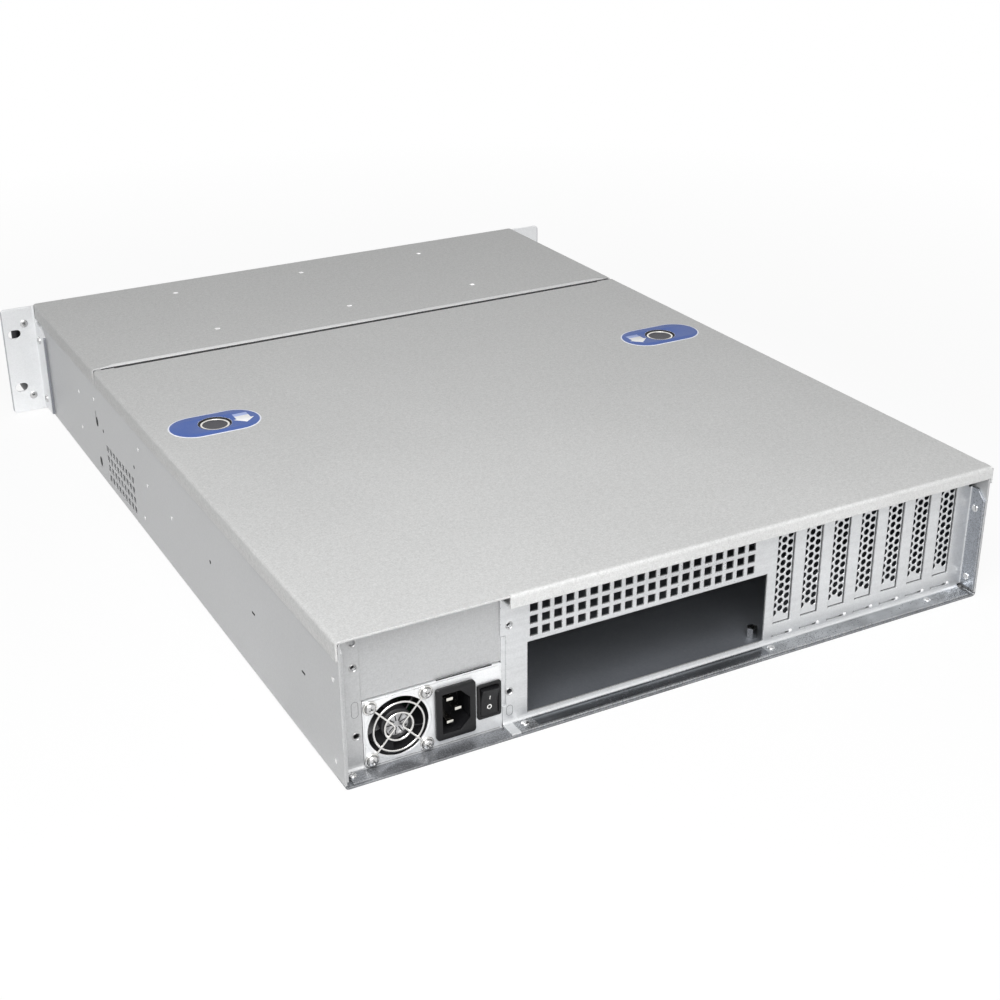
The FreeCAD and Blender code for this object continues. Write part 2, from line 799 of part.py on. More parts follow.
# One perforated cover behind a slot window, with a foot tongue and a screw tab on the shelf
def make_slot_cover(index):
    middle = slot_first - index * slot_pitch - slot_width / 2
    left = middle - cover_width / 2
    tab_end = panel_y + cover_tab - sheet
    strip = folded([(panel_inside, cover_foot), (panel_inside, shelf_top), (tab_end, shelf_top)], cover_sheet,
                   beside(left), X * cover_width, fit_gap)
    tongue = box(middle - tongue_width / 2, middle + tongue_width / 2,
                 panel_inside - cover_sheet, panel_inside, tongue_low, cover_foot)
    near = panel_inside - cover_sheet - fit_gap
    cutters = []
    column_pitch = cover_hole_pitch * math.cos(math.radians(30))
    for column in (-1, 0, 1):
        rows = cover_hole_rows if column else cover_hole_rows - 1
        first = cover_hole_low if column else cover_hole_low + cover_hole_pitch / 2
        for row in range(rows):
            centre = Vector(middle + column * column_pitch, near, first + row * cover_hole_pitch)
            cutters.append(prism(cover_hole, 4, centre, Y, cover_sheet + 2 * fit_gap))
    notch = screw_radius + screw_clearance
    cutters.append(box(middle - notch, middle + notch, panel_y + slot_screw_in - notch, tab_end + fit_gap,
                       shelf_top - fit_gap, shelf_top + cover_sheet + fit_gap))
    return cut(joined([strip, tongue]), cutters)


def make_slot_screws():
    screws = []
    for slot in range(slot_count):
        middle = slot_first - slot * slot_pitch - slot_width / 2
        centre = Vector(middle, panel_y + slot_screw_in, shelf_top + cover_sheet)
        screws.append(screw(centre, Z, cover_sheet))
    return Part.makeCompound(screws)


# Power supply: a folded tray with the rear face and a cover folded over it
psu_fan_x = psu_right - psu_sheet - psu_fan_size / 2 - fit_gap


def make_psu_tray():
    rocker_hole_width = rocker_frame_width - 2 * rocker_snap
    rocker_hole_height = rocker_frame_height - 2 * rocker_snap
    inner_left = psu_left + psu_sheet
    width = psu_width - 2 * psu_sheet
    top = sheet + psu_height - psu_sheet - fit_gap
    section = [(psu_front, top), (psu_front, sheet), (panel_y, sheet), (panel_y, top)]
    tray = folded(section, psu_sheet, beside(inner_left), X * width, fit_gap)
    rear = panel_y - psu_sheet - fit_gap
    through = psu_sheet + 2 * fit_gap
    cutters = [prism(psu_fan_opening, fan_sides, Vector(psu_fan_x, rear, psu_z), Y, through),
               box(inlet_x - inlet_body_width / 2 - fit_gap, inlet_x + inlet_body_width / 2 + fit_gap,
                   rear, rear + through,
                   psu_z - inlet_body_height / 2 - fit_gap, psu_z + inlet_body_height / 2 + fit_gap),
               box(rocker_x - rocker_hole_width / 2, rocker_x + rocker_hole_width / 2, rear, rear + through,
                   psu_z - rocker_hole_height / 2, psu_z + rocker_hole_height / 2)]
    middle = (psu_left + psu_right) / 2
    for i in range(psu_vent_count):
        x = middle + (i - (psu_vent_count - 1) / 2) * psu_vent_pitch
        cutters.append(box(x - psu_vent_width / 2, x + psu_vent_width / 2,
                           psu_front - fit_gap, psu_front + psu_sheet + fit_gap,
                           psu_z - psu_vent_height / 2, psu_z + psu_vent_height / 2))
    return cut(tray, cutters)


def make_psu_cover():
    top = sheet + psu_height
    section = [(psu_right, sheet), (psu_right, top), (psu_left, top), (psu_left, sheet)]
    return folded(section, psu_sheet, across(psu_front), Y * psu_depth, fit_gap)


psu_board_left = psu_left + psu_sheet + psu_board_side
psu_board_right = psu_right - psu_sheet - psu_board_side
psu_board_start = psu_front + psu_sheet + psu_board_front
psu_board_under = sheet + psu_sheet + psu_board_rise


def make_psu_board():
    return box(psu_board_left, psu_board_right, psu_board_start, psu_board_start + psu_board_length,
               psu_board_under, psu_board_under + psu_board_sheet)


def make_psu_board_posts():
    columns = (psu_board_left + psu_post_in, psu_board_right - psu_post_in)
    rows = (psu_board_start + psu_post_in, psu_board_start + psu_board_length - psu_post_in)
    posts = [prism(psu_post_radius, 6, Vector(x, y, sheet + psu_sheet), Z, psu_board_rise)
             for x in columns for y in rows]
    return Part.makeCompound(posts)


def make_psu_parts():
    """The transformer block, the two tall capacitors and the heat sink fins on the board."""
    top = psu_board_under + psu_board_sheet
    middle = (psu_left + psu_right) / 2
    half = transformer_size / 2
    start = psu_board_start + transformer_place
    end = start + transformer_size
    shapes = [box(middle - half, middle + half, start, end, top, top + transformer_height)]
    for offset in (-capacitor_spread, capacitor_spread):
        foot = Vector(middle + offset, psu_board_start + capacitor_place, top)
        shapes.append(prism(capacitor_radius, button_sides, foot, Z, capacitor_height))
    start = psu_board_start + fin_place
    for offset in fin_spread:
        x = middle + offset
        shapes.append(box(x, x + fin_sheet, start, start + fin_length, top, top + fin_height))
    return Part.makeCompound(shapes)


def fan_frame(centre, size, depth, opening, hub):
    """A square fan frame with its spokes and motor seat at the front face; centre is on the rear face."""
    half = size / 2
    frame = box(centre.x - half, centre.x + half, centre.y - depth, centre.y,
                centre.z - half, centre.z + half)
    start = Vector(centre.x, centre.y - depth - fit_gap, centre.z)
    ring = cut(frame, [prism(opening, fan_sides, start, Y, depth + 2 * fit_gap)])
    seat_y = centre.y - depth
    seat = prism(hub, screw_sides, Vector(centre.x, seat_y, centre.z), Y, fan_wall_thick)
    width = fan_spoke * size / fan_size
    long = box(centre.x - opening, centre.x + opening, seat_y, seat_y + fan_wall_thick,
               centre.z - width / 2, centre.z + width / 2)
    tall = box(centre.x - width / 2, centre.x + width / 2, seat_y, seat_y + fan_wall_thick,
               centre.z - opening, centre.z + opening)
    return joined([ring, seat, long, tall])


def fan_rotor(centre, depth, opening, hub):
    """A hub with twisted blades; centre is on the frame's rear face."""
    front = centre.y - depth + fan_wall_thick + seat_gap
    rear = centre.y - hub_set_back
    body = prism(hub, 2 * fan_blades, Vector(centre.x, front, centre.z), Y, rear - front)
    shapes = [body]
    height = (rear - front) * blade_reach
    middle = (front + rear) / 2
    slope = math.tan(math.radians(blade_tilt))
    thick = blade_sheet * opening / fan_opening
    sweep = opening * math.cos(math.pi / fan_sides) - blade_gap
    tip = math.sqrt(sweep ** 2 - (slope * height / 2 + thick / 2) ** 2)
    for i in range(fan_blades):
        ends = []
        for radius, widen in ((hub * blade_root, blade_root), (tip, 1.0)):
            reach = height * widen / 2
            lean = slope * reach
            sheet_half = thick / 2 * widen
            points = [(-lean - sheet_half, -reach), (-lean + sheet_half, -reach),
                      (lean + sheet_half, reach), (lean - sheet_half, reach)]
            out = centre.z + radius
            ends.append([Vector(centre.x + side, middle + along, out) for side, along in points])
        blade = wedge(ends[0], ends[1])
        blade.rotate(Vector(centre.x, 0, centre.z), Y, 360.0 * i / fan_blades)
        shapes.append(blade)
    return joined(shapes)


def psu_fan_centre():
    return Vector(psu_fan_x, panel_y - psu_sheet, psu_z)


# Wire guard: two rings and two bent wires whose eyes go round the screws
def make_fan_guard():
    wire = 2 * guard_wire
    centre = Vector(psu_fan_x, panel_y, psu_z)

    def ring(middle, radius, sides):
        hole = prism(radius - guard_wire, sides, middle - Y * fit_gap, Y, wire + 2 * fit_gap)
        return prism(radius + guard_wire, sides, middle, Y, wire).cut(hole)

    shapes = [ring(centre, guard_ring_outer, fan_sides), ring(centre, guard_ring_inner, fan_sides)]
    half = psu_fan_holes / 2
    for side in (-1, 1):
        waist = X * (side * guard_waist)
        for level in (-1, 1):
            eye = X * (side * half) + Z * (level * half)
            leg = waist - eye
            reach = leg.Length
            leg.normalize()
            lift = leg.cross(Y) * guard_wire
            start = centre + eye + leg * guard_eyelet
            end = centre + eye + leg * (reach + guard_wire)
            strip = Part.makePolygon([start - lift, end - lift, end + lift, start + lift, start - lift])
            shapes.append(Part.Face(strip).extrude(Y * wire))
            shapes.append(ring(centre + eye, guard_eyelet, screw_sides))
    return joined(shapes)


def make_guard_screws():
    screws = []
    half = psu_fan_holes / 2
    for x in (-half, half):
        for z in (-half, half):
            centre = Vector(psu_fan_x + x, panel_y + 2 * guard_wire, psu_z + z)
            screws.append(screw(centre, Y, 2 * guard_wire))
    return Part.makeCompound(screws)


# Power inlet: flange and body with a recess whose two corners towards the switch are cut
def make_inlet_socket():
    half_w, half_h = inlet_width / 2, inlet_height / 2
    mouth = panel_y + inlet_flange
    flange = box(inlet_x - half_w, inlet_x + half_w, panel_y, mouth, psu_z - half_h, psu_z + half_h)
    flange = flange.makeChamfer(inlet_corner, [edge for edge in flange.Edges
                                               if abs(edge.Length - inlet_flange) < 0.001
                                               and edge.CenterOfMass.x < inlet_x])
    body = box(inlet_x - inlet_body_width / 2, inlet_x + inlet_body_width / 2,
               panel_y - inlet_body_depth, panel_y,
               psu_z - inlet_body_height / 2, psu_z + inlet_body_height / 2)
    w, h, c = inlet_recess_width / 2, inlet_recess_height / 2, inlet_recess_cut
    outline = [(w, -h), (w, h), (-w + c, h), (-w, h - c), (-w, -h + c), (-w + c, -h)]
    places = [Vector(inlet_x + x, mouth + fit_gap, psu_z + z) for x, z in outline]
    recess = Part.Face(Part.makePolygon(places + places[:1])).extrude(-Y * (inlet_recess_depth + fit_gap))
    return cut(joined([flange, body]), [recess])


def make_inlet_pins():
    floor_y = panel_y + inlet_flange - inlet_recess_depth
    pins = []
    for x, z in ((pin_side, pin_spread), (pin_side, -pin_spread), (-earth_side, 0.0)):
        pins.append(box(inlet_x + x - pin_width / 2, inlet_x + x + pin_width / 2,
                        floor_y, floor_y + pin_length,
                        psu_z + z - pin_thickness / 2, psu_z + z + pin_thickness / 2))
    return Part.makeCompound(pins)


# Rocker switch
rocker_axis_y = panel_y - rocker_axis_in


def make_switch_frame():
    w, h = rocker_frame_width / 2, rocker_frame_height / 2
    flange = box(rocker_x - w, rocker_x + w, panel_y, panel_y + rocker_frame_flange, psu_z - h, psu_z + h)
    inner_w, inner_h = w - rocker_snap - fit_gap, h - rocker_snap - fit_gap
    body = box(rocker_x - inner_w, rocker_x + inner_w, panel_y - rocker_body_depth, panel_y,
               psu_z - inner_h, psu_z + inner_h)
    hole_w, hole_h = w - rocker_wall, h - rocker_wall
    well = box(rocker_x - hole_w, rocker_x + hole_w, rocker_axis_y - rocker_depth - rocker_well,
               panel_y + rocker_frame_flange + fit_gap, psu_z - hole_h, psu_z + hole_h)
    return cut(joined([flange, body]), [well])


def make_switch_rocker():
    half_w = rocker_frame_width / 2 - rocker_wall - rocker_clearance
    hole_h = rocker_frame_height / 2 - rocker_wall
    face_y = panel_y + rocker_rise
    slack = (face_y - rocker_axis_y) * math.sin(math.radians(rocker_tilt))
    half_h = hole_h - slack - rocker_clearance
    dip = half_h * math.tan(math.radians(rocker_tilt))
    shoulder_y = rocker_axis_y - rocker_shoulder
    section = [(face_y, half_h), (face_y - dip, 0.0), (face_y, -half_h), (shoulder_y, -half_h),
               (rocker_axis_y - rocker_depth, 0.0), (shoulder_y, half_h)]
    places = [Vector(rocker_x - half_w, y, psu_z + z) for y, z in section]
    rocker = Part.Face(Part.makePolygon(places + places[:1])).extrude(X * (2 * half_w))
    rocker.rotate(Vector(rocker_x, rocker_axis_y, psu_z), X, -rocker_tilt)
    return rocker


# Front panel: folded top and bottom, with grille slots, button holes and lamp holes
def make_front_panel():
    half = wall_in - panel_side_gap
    flange_half = wall_in - ledge_width - 2 * seat_gap
    low, high = sheet, lid_under
    section = [(front_y + panel_flange, low), (front_y, low), (front_y, high), (front_y + panel_flange, high)]
    panel = folded(section, -sheet, beside(-half), X * (2 * half))
    cutters = floor_corner_cuts(front_y - fit_gap, front_y + panel_flange + fit_gap)
    for side in (-1, 1):
        inner, outer = side * flange_half, side * (half + fit_gap)
        cutters.append(box(min(inner, outer), max(inner, outer), front_y + sheet + fit_gap,
                           front_y + panel_flange + fit_gap, high - sheet - bend, high + fit_gap))
    near, far = front_y - fit_gap, front_y + sheet + fit_gap
    first = body_height / 2 - (grille_slot_count - 1) / 2 * grille_slot_pitch
    bays = [(-2, -1), (-1, 0), (0, 1), (1, 2)]
    for a, b in bays:
        x0 = a * divider_spacing + grille_margin
        x1 = b * divider_spacing - grille_margin
        x0 = max(x0, -half + grille_margin)
        x1 = min(x1, control_x - control_board_width / 2 - grille_margin / 2)
        for i in range(grille_slot_count):
            z = first + i * grille_slot_pitch
            cutters.append(box(x0, x1, near, far, z - grille_slot_height / 2, z + grille_slot_height / 2))
    for z, radius in ((power_button_z, power_button_radius), (reset_button_z, reset_button_radius)):
        cutters.append(prism(radius + button_clearance, button_sides, Vector(control_x, near, z), Y,
                             sheet + 2 * fit_gap))
    for i in range(3):
        start = Vector(control_x, near, lamp_first_z + i * lamp_pitch)
        cutters.append(prism(lamp_radius + screw_clearance, screw_sides, start, Y, sheet + 2 * fit_gap))
    return cut(panel, cutters)


control_board_y = (front_y + sheet + button_shoulder + button_flange + button_stem + button_travel + seat_gap
                   + control_switch_depth)


def make_button(z, radius):
    """A push button with a retaining flange behind the panel and a stem to its switch."""
    inside = sheet + button_shoulder
    flange = radius + button_flange
    behind = inside + button_flange
    points = [(0, -button_rise), (radius - button_edge, -button_rise), (radius, -button_rise + button_edge),
              (radius, inside), (flange, inside), (flange, behind), (button_stem_radius, behind),
              (button_stem_radius, behind + button_stem), (0, behind + button_stem)]
    return faceted(points, Vector(control_x, front_y, z), Y, button_sides)


def make_status_lamps():
    lamps = []
    for i in range(3):
        start = Vector(control_x, front_y - lamp_rise, lamp_first_z + i * lamp_pitch)
        lamps.append(prism(lamp_radius, screw_sides, start, Y, control_board_y - front_y + lamp_rise))
    return Part.makeCompound(lamps)


def make_control_board():
    """A small board with the two switch bodies and the posts that hold it to the panel."""
    middle = (power_button_z + lamp_first_z) / 2
    half_w, half_h = control_board_width / 2, control_board_height / 2
    board = box(control_x - half_w, control_x + half_w,
                control_board_y, control_board_y + control_board_sheet,
                middle - half_h, middle + half_h)
    shapes = [board]
    half = control_switch / 2
    for z in (power_button_z, reset_button_z):
        shapes.append(box(control_x - half, control_x + half, control_board_y - control_switch_depth,
                          control_board_y, z - half, z + half))
    panel_back = front_y + sheet
    for z in (middle - half_h + control_post_in, middle + half_h - control_post_in):
        shapes.append(prism(control_post, 6, Vector(control_x + half_w - control_post_in, panel_back, z), Y,
                            control_board_y - panel_back))
    return joined(shapes)


# Upright divider between two drive bays, flanged onto the floor and under the front cover
def make_bay_divider(index):
    x = (index - 1) * divider_spacing
    y0 = front_y + divider_front + panel_flange
    depth = divider_depth - panel_flange
    half = divider_flange / 2
    section = [(x + half, sheet), (x, sheet), (x, lid_under), (x + half, lid_under)]
    divider = folded(section, -sheet, across(y0), Y * depth)
    holes = []
    for z in divider_hole_rows:
        for i in range(divider_hole_count):
            y = y0 + depth * (i + 0.5) / divider_hole_count
            holes.append(box(x - fit_gap, x + sheet + fit_gap,
                             y - divider_hole_width / 2, y + divider_hole_width / 2,
                             z - divider_hole_height / 2, z + divider_hole_height / 2))
    return cut(divider, holes)


# Fan wall across the case, with a round opening for each fan
def fan_centres():
    y = fan_wall_y + sheet + fan_depth
    z = sheet + fan_size / 2 + fan_rise
    return [Vector((i - (fan_count - 1) / 2) * divider_spacing, y, z) for i in range(fan_count)]


def make_fan_wall():
    half = wall_in
    top = ledge_under - bend - fit_gap
    section = [(-half, fan_wall_y + fan_wall_flange), (-half, fan_wall_y), (half, fan_wall_y),
               (half, fan_wall_y + fan_wall_flange)]
    wall = folded(section, sheet, above(sheet), Z * (top - sheet))
    cutters = floor_corner_cuts(fan_wall_y - fit_gap, fan_wall_y + fan_wall_flange + fit_gap)
    for centre in fan_centres():
        cutters.append(prism(fan_opening, fan_sides, Vector(centre.x, fan_wall_y - fit_gap, centre.z), Y,
                             sheet + 2 * fit_gap))
    return cut(wall, cutters)


def make_standoffs():
    rear = panel_inside - board_rear_gap - board_hole_rear
    right = board_right - board_hole_side
    shapes = []
    for column in board_columns:
        for row in board_rows:
            foot = Vector(right - column, rear - row, sheet)
            hexagon = prism(standoff_flats / math.cos(math.radians(30)) / 2, 6, foot, Z, standoff_height)
            shapes.append(hexagon.cut(rod(standoff_bore, foot, Z, standoff_height)))
    return Part.makeCompound(shapes)


def rivet(centre, direction):
    points = [(0, 0), (rivet_radius, 0), (rivet_radius * 0.6, rivet_height), (0, rivet_height)]
    return faceted(points, centre, direction, screw_sides)


def make_rear_rivets():
    y = rear_y - rear_rivet_in
    places = [wall_in - distance for distance in floor_rivets_near] + [-wall_in + floor_rivet_far]
    heads = [rivet(Vector(x, y, 2 * sheet), Z) for x in places]
    heads += [rivet(Vector(-wall_in + sheet, y, z), X) for z in wall_rivet_heights]
    return Part.makeCompound(heads)


def make_cover_rivets():
    heads = []
    for x in (-divider_spacing, 0.0, divider_spacing):
        for row in cover_rivet_rows:
            heads.append(rivet(Vector(x, front_y + row, body_height), Z))
    return Part.makeCompound(heads)


save("base_tray", make_base_tray())
save("front_cover", make_front_cover())
save("lid", make_lid())
for name, side in (("left", -1), ("right", 1)):
    save("release_label_" + name, make_release_label(side))
    save("latch_cup_" + name, make_latch_cup(side))
    save("latch_button_" + name, make_latch_button(side))
ear = make_ear()
handle = make_handle()
save("ear_right", ear)
save("ear_left", mirrored(ear))
save("handle_right", handle)
save("handle_left", mirrored(handle))
save("handle_screws", make_handle_screws())
save("ear_screws", make_ear_screws())
save("rear_panel", make_rear_panel())
save("psu_bracket", make_psu_bracket())
save("blank_plate", make_blank_plate())
for index in range(slot_count):
    save("slot_cover_%d" % (index + 1), make_slot_cover(index))
save("slot_screws", make_slot_screws())
save("psu_tray", make_psu_tray())
save("psu_cover", make_psu_cover())
save("psu_board", make_psu_board())
save("psu_board_posts", make_psu_board_posts())
save("psu_components", make_psu_parts())
save("psu_fan_frame", fan_frame(psu_fan_centre(), psu_fan_size, psu_fan_depth, psu_fan_opening, psu_fan_hub))
save("psu_fan_rotor", fan_rotor(psu_fan_centre(), psu_fan_depth, psu_fan_opening, psu_fan_hub))
save("fan_guard", make_fan_guard())
save("guard_screws", make_guard_screws())
save("inlet_socket", make_inlet_socket())
save("inlet_pins", make_inlet_pins())
save("switch_frame", make_switch_frame())
save("switch_rocker", make_switch_rocker())
save("front_panel", make_front_panel())
save("power_button", make_button(power_button_z, power_button_radius))
save("reset_button", make_button(reset_button_z, reset_button_radius))
save("status_lamps", make_status_lamps())
save("control_board", make_control_board())
for index in range(3):
    save("bay_divider_%d" % (index + 1), make_bay_divider(index))
save("fan_wall", make_fan_wall())
for index, centre in enumerate(fan_centres()):
    save("fan_frame_%d" % (index + 1), fan_frame(centre, fan_size, fan_depth, fan_opening, fan_hub))
    save("fan_rotor_%d" % (index + 1), fan_rotor(centre, fan_depth, fan_opening, fan_hub))
save("board_standoffs", make_standoffs())
save("rear_rivets", make_rear_rivets())
save("cover_rivets", make_cover_rivets())
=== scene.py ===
import json
import math

import bmesh
import bpy
from mathutils import Matrix, Vector


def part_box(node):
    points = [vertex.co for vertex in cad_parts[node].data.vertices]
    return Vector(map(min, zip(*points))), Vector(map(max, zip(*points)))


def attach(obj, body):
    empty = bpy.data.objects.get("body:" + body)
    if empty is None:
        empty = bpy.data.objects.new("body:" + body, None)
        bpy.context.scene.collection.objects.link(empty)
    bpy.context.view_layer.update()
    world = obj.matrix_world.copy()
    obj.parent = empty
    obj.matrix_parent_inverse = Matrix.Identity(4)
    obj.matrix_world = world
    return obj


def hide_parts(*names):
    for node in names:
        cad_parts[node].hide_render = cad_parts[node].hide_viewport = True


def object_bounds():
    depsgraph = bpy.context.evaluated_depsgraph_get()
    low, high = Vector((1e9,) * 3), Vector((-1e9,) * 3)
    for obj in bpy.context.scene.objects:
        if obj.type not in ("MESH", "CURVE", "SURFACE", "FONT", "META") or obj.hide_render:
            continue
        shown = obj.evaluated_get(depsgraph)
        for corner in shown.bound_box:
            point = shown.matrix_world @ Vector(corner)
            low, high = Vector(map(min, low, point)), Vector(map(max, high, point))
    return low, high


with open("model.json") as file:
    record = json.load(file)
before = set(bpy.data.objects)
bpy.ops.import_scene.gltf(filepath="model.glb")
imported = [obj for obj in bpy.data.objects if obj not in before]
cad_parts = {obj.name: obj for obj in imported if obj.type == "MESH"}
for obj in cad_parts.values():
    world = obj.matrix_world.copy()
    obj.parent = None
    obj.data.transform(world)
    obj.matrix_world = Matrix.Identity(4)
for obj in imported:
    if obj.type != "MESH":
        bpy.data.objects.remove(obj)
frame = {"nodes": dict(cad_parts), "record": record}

# The looks of an empty 2U rackmount server case. Sizes are in millimetres and become metres by MM.
MM = 0.001
cad_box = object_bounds()

# Camera: the photograph's viewing angle, fitted to the case's corners
camera_angles = {"azimuth": 152.421, "elevation": 25.286, "roll": -0.734}
camera_target = (-3.594, 36.07, 7.053)
camera_distance = 1125.72
focal_pixels = 1612.0
image_pixels = 1000.0
sensor_width = 36.0
camera_shift = (0.021, -0.002)
camera_clip = (0.02, 40.0)


def place_object(name, data):
    item = bpy.data.objects.new(name, data)
    bpy.context.scene.collection.objects.link(item)
    return item


def make_camera():
    azimuth, elevation, roll = map(math.radians, camera_angles.values())
    back = Vector((math.sin(azimuth) * math.cos(elevation),
                   -math.cos(azimuth) * math.cos(elevation),
                   math.sin(elevation)))
    right = Vector((0, 0, 1)).cross(back).normalized()
    up = back.cross(right)
    side = right * math.cos(roll) + up * math.sin(roll)
    head = up * math.cos(roll) - right * math.sin(roll)
    place = Vector(camera_target) * MM + back * (camera_distance * MM)
    data = bpy.data.cameras.new("camera")
    data.sensor_width = sensor_width
    data.lens = focal_pixels * sensor_width / image_pixels
    data.shift_x, data.shift_y = camera_shift
    data.clip_start, data.clip_end = camera_clip
    camera = place_object("camera", data)
    camera.matrix_world = Matrix.Translation(place) @ Matrix((side, head, back)).transposed().to_4x4()
    bpy.context.scene.camera = camera


make_camera()
bpy.context.scene.view_settings.view_transform = "Standard"


# Small helpers for node trees
def connect(tree, item, **inputs):
    """Links sockets to inputs or sets their values. Names have _ for a space, and i0 is the first."""
    for key, value in inputs.items():
        name = key.replace("_", " ")
        socket = item.inputs[int(name[1:])] if name[0] == "i" and name[1:].isdigit() else item.inputs[name]
        if isinstance(value, bpy.types.NodeSocket):
            tree.links.new(value, socket)
        else:
            socket.default_value = value


def add(tree, kind, settings=None, **inputs):
    """A node with its settings and its inputs."""
    item = tree.nodes.new(kind)
    for key, value in (settings or {}).items():
        setattr(item, key, value)
    connect(tree, item, **inputs)
    return item


def calc(tree, operation, a, b, clamp=False):
    return add(tree, "ShaderNodeMath", {"operation": operation, "use_clamp": clamp}, i0=a, i1=b).outputs[0]


def plus(tree, a, b, clamp=False):
    return calc(tree, "ADD", a, b, clamp)


def minus(tree, a, b, clamp=False):
    return calc(tree, "SUBTRACT", a, b, clamp)


def times(tree, a, b, clamp=False):
    return calc(tree, "MULTIPLY", a, b, clamp)


def vector_calc(tree, operation, a, b=(0.0, 0.0, 0.0)):
    """A vector sum, or the single value of a dot product or a length."""
    outputs = add(tree, "ShaderNodeVectorMath", {"operation": operation}, i0=a, i1=b).outputs
    return outputs["Value" if operation in ("DOT_PRODUCT", "LENGTH") else "Vector"]


def spread(tree, value, low, high, to_low=0.0, to_high=1.0):
    """The value's range from low to high, stretched onto another range and held there."""
    return add(tree, "ShaderNodeMapRange", Value=value, From_Min=low, From_Max=high,
               To_Min=to_low, To_Max=to_high).outputs["Result"]


def blend_colour(tree, factor, a, b, mode="MIX"):
    item = add(tree, "ShaderNodeMix", {"data_type": "RGBA", "blend_type": mode}, i0=factor, i6=a, i7=b)
    return item.outputs[2]


def shaded(tree, colour, change):
    """The colour made lighter or darker by a signed share."""
    light = plus(tree, change, 1.0)
    grey = add(tree, "ShaderNodeCombineColor", Red=light, Green=light, Blue=light).outputs[0]
    return blend_colour(tree, 1.0, colour, grey, "MULTIPLY")


def noise(tree, place, scale, detail=2.0, roughness=0.5):
    return add(tree, "ShaderNodeTexNoise", Vector=place, Scale=scale, Detail=detail,
               Roughness=roughness).outputs["Fac"]


def relief(tree, strength, distance, height, **normal):
    return add(tree, "ShaderNodeBump", Strength=strength, Distance=distance, Height=height,
               **normal).outputs[0]


def shader_group(**inputs):
    """Turns a function's nodes into a shader node group of its name that starts from a place. An
    input's kind follows from its first value, and what the function returns is put out."""
    def build(make_nodes):
        group = bpy.data.node_groups.new(make_nodes.__name__, "ShaderNodeTree")
        for label, value in {"Place": (0.0, 0.0, 0.0), **inputs}.items():
            kind = {3: "Vector", 4: "Color"}[len(value)] if isinstance(value, tuple) else "Float"
            group.interface.new_socket(name=label.replace("_", " "), in_out="INPUT",
                                       socket_type="NodeSocket" + kind).default_value = value
        made = make_nodes(group, group.nodes.new("NodeGroupInput").outputs)
        for label in made:
            kind = {"Colour": "Color", "Normal": "Vector"}.get(label, "Float")
            group.interface.new_socket(name=label, in_out="OUTPUT", socket_type="NodeSocket" + kind)
        connect(group, group.nodes.new("NodeGroupOutput"), **made)
        return group
    return build


# Zinc sheet: fine grain, soft patches and a little unevenness
@shader_group(Colour=(0.6, 0.6, 0.6, 1), Grain=1100.0, Contrast=0.1, Patches=9.0, Patch_Depth=0.05,
              Roughness=0.4)
def zinc_grain(group, given):
    place = given["Place"]
    fine = noise(group, place, given["Grain"], 1.0, 0.6)
    speck = noise(group, place, times(group, given["Grain"], 0.37), 2.0, 0.7)
    both = plus(group, times(group, fine, 0.6), times(group, speck, 0.4))
    grain = spread(group, both, 0.33, 0.67, -1.0, 1.0)
    patch = spread(group, noise(group, place, given["Patches"], 3.0), 0.3, 0.7, -1.0, 1.0)
    change = plus(group, times(group, grain, given["Contrast"]), times(group, patch, given["Patch Depth"]))
    rough = plus(group, given["Roughness"], times(group, patch, 0.05))
    return {"Colour": shaded(group, given["Colour"], change),
            "Roughness": plus(group, rough, times(group, grain, 0.04), clamp=True), "Height": both}


# Worn edges, which on the zinc sheet also carry a painted highlight: where a rounded normal leaves the true
# one, broken up by noise
@shader_group(Width=0.0008, Wear=0.6, Scale=160.0)
def edge_wear_and_painted_highlight(group, given):
    soft = add(group, "ShaderNodeBevel", {"samples": 4}, Radius=given["Width"]).outputs[0]
    true = add(group, "ShaderNodeNewGeometry").outputs["True Normal"]
    edge = spread(group, vector_calc(group, "DOT_PRODUCT", soft, true), 0.99, 0.82)
    broken = spread(group, noise(group, given["Place"], given["Scale"], 3.0), 0.32, 0.55)
    return {"Mask": times(group, times(group, edge, broken), given["Wear"], clamp=True), "Normal": soft}


# Long soft streaks left by the rolls, along one axis
@shader_group(Along=(8.0, 260.0, 260.0), Depth=0.1)
def roll_streaks(group, given):
    streak = noise(group, vector_calc(group, "MULTIPLY", given["Place"], given["Along"]), 1.0, 3.0, 0.6)
    signed = spread(group, streak, 0.3, 0.7, -1.0, 1.0)
    return {"Shade": times(group, signed, given["Depth"]), "Height": streak}


# Moulded plastic: fine grain with faint mottling and a trace of dust
@shader_group(Colour=(0.02, 0.02, 0.02, 1), Dust=(0.2, 0.2, 0.2, 1), Dust_Amount=0.1, Grain=1500.0,
              Roughness=0.5)
def moulded_grain(group, given):
    place = given["Place"]
    fine = noise(group, place, given["Grain"], 2.0, 0.6)
    cloud = spread(group, noise(group, place, 45.0, 4.0), 0.42, 0.75)
    dust = times(group, times(group, cloud, fine), given["Dust Amount"])
    rough = plus(group, given["Roughness"], spread(group, fine, 0.3, 0.7, -0.06, 0.06))
    return {"Colour": blend_colour(group, dust, given["Colour"], given["Dust"]),
            "Roughness": plus(group, rough, times(group, cloud, 0.08), clamp=True), "Height": fine}


# How far a place lies inside a box, from 0 to 1
@shader_group(Middle=(0.0, 0.0, 0.0), Half=(1.0, 1.0, 1.0), Soft=0.0004)
def within_box(group, given):
    reach = vector_calc(group, "ABSOLUTE", vector_calc(group, "SUBTRACT", given["Place"], given["Middle"]))
    room = vector_calc(group, "SUBTRACT", given["Half"], reach)
    sides = add(group, "ShaderNodeSeparateXYZ", Vector=room).outputs
    nearest = calc(group, "MINIMUM", calc(group, "MINIMUM", sides[0], sides[1]), sides[2])
    return {"Mask": plus(group, calc(group, "DIVIDE", nearest, given["Soft"]), 0.5, clamp=True)}
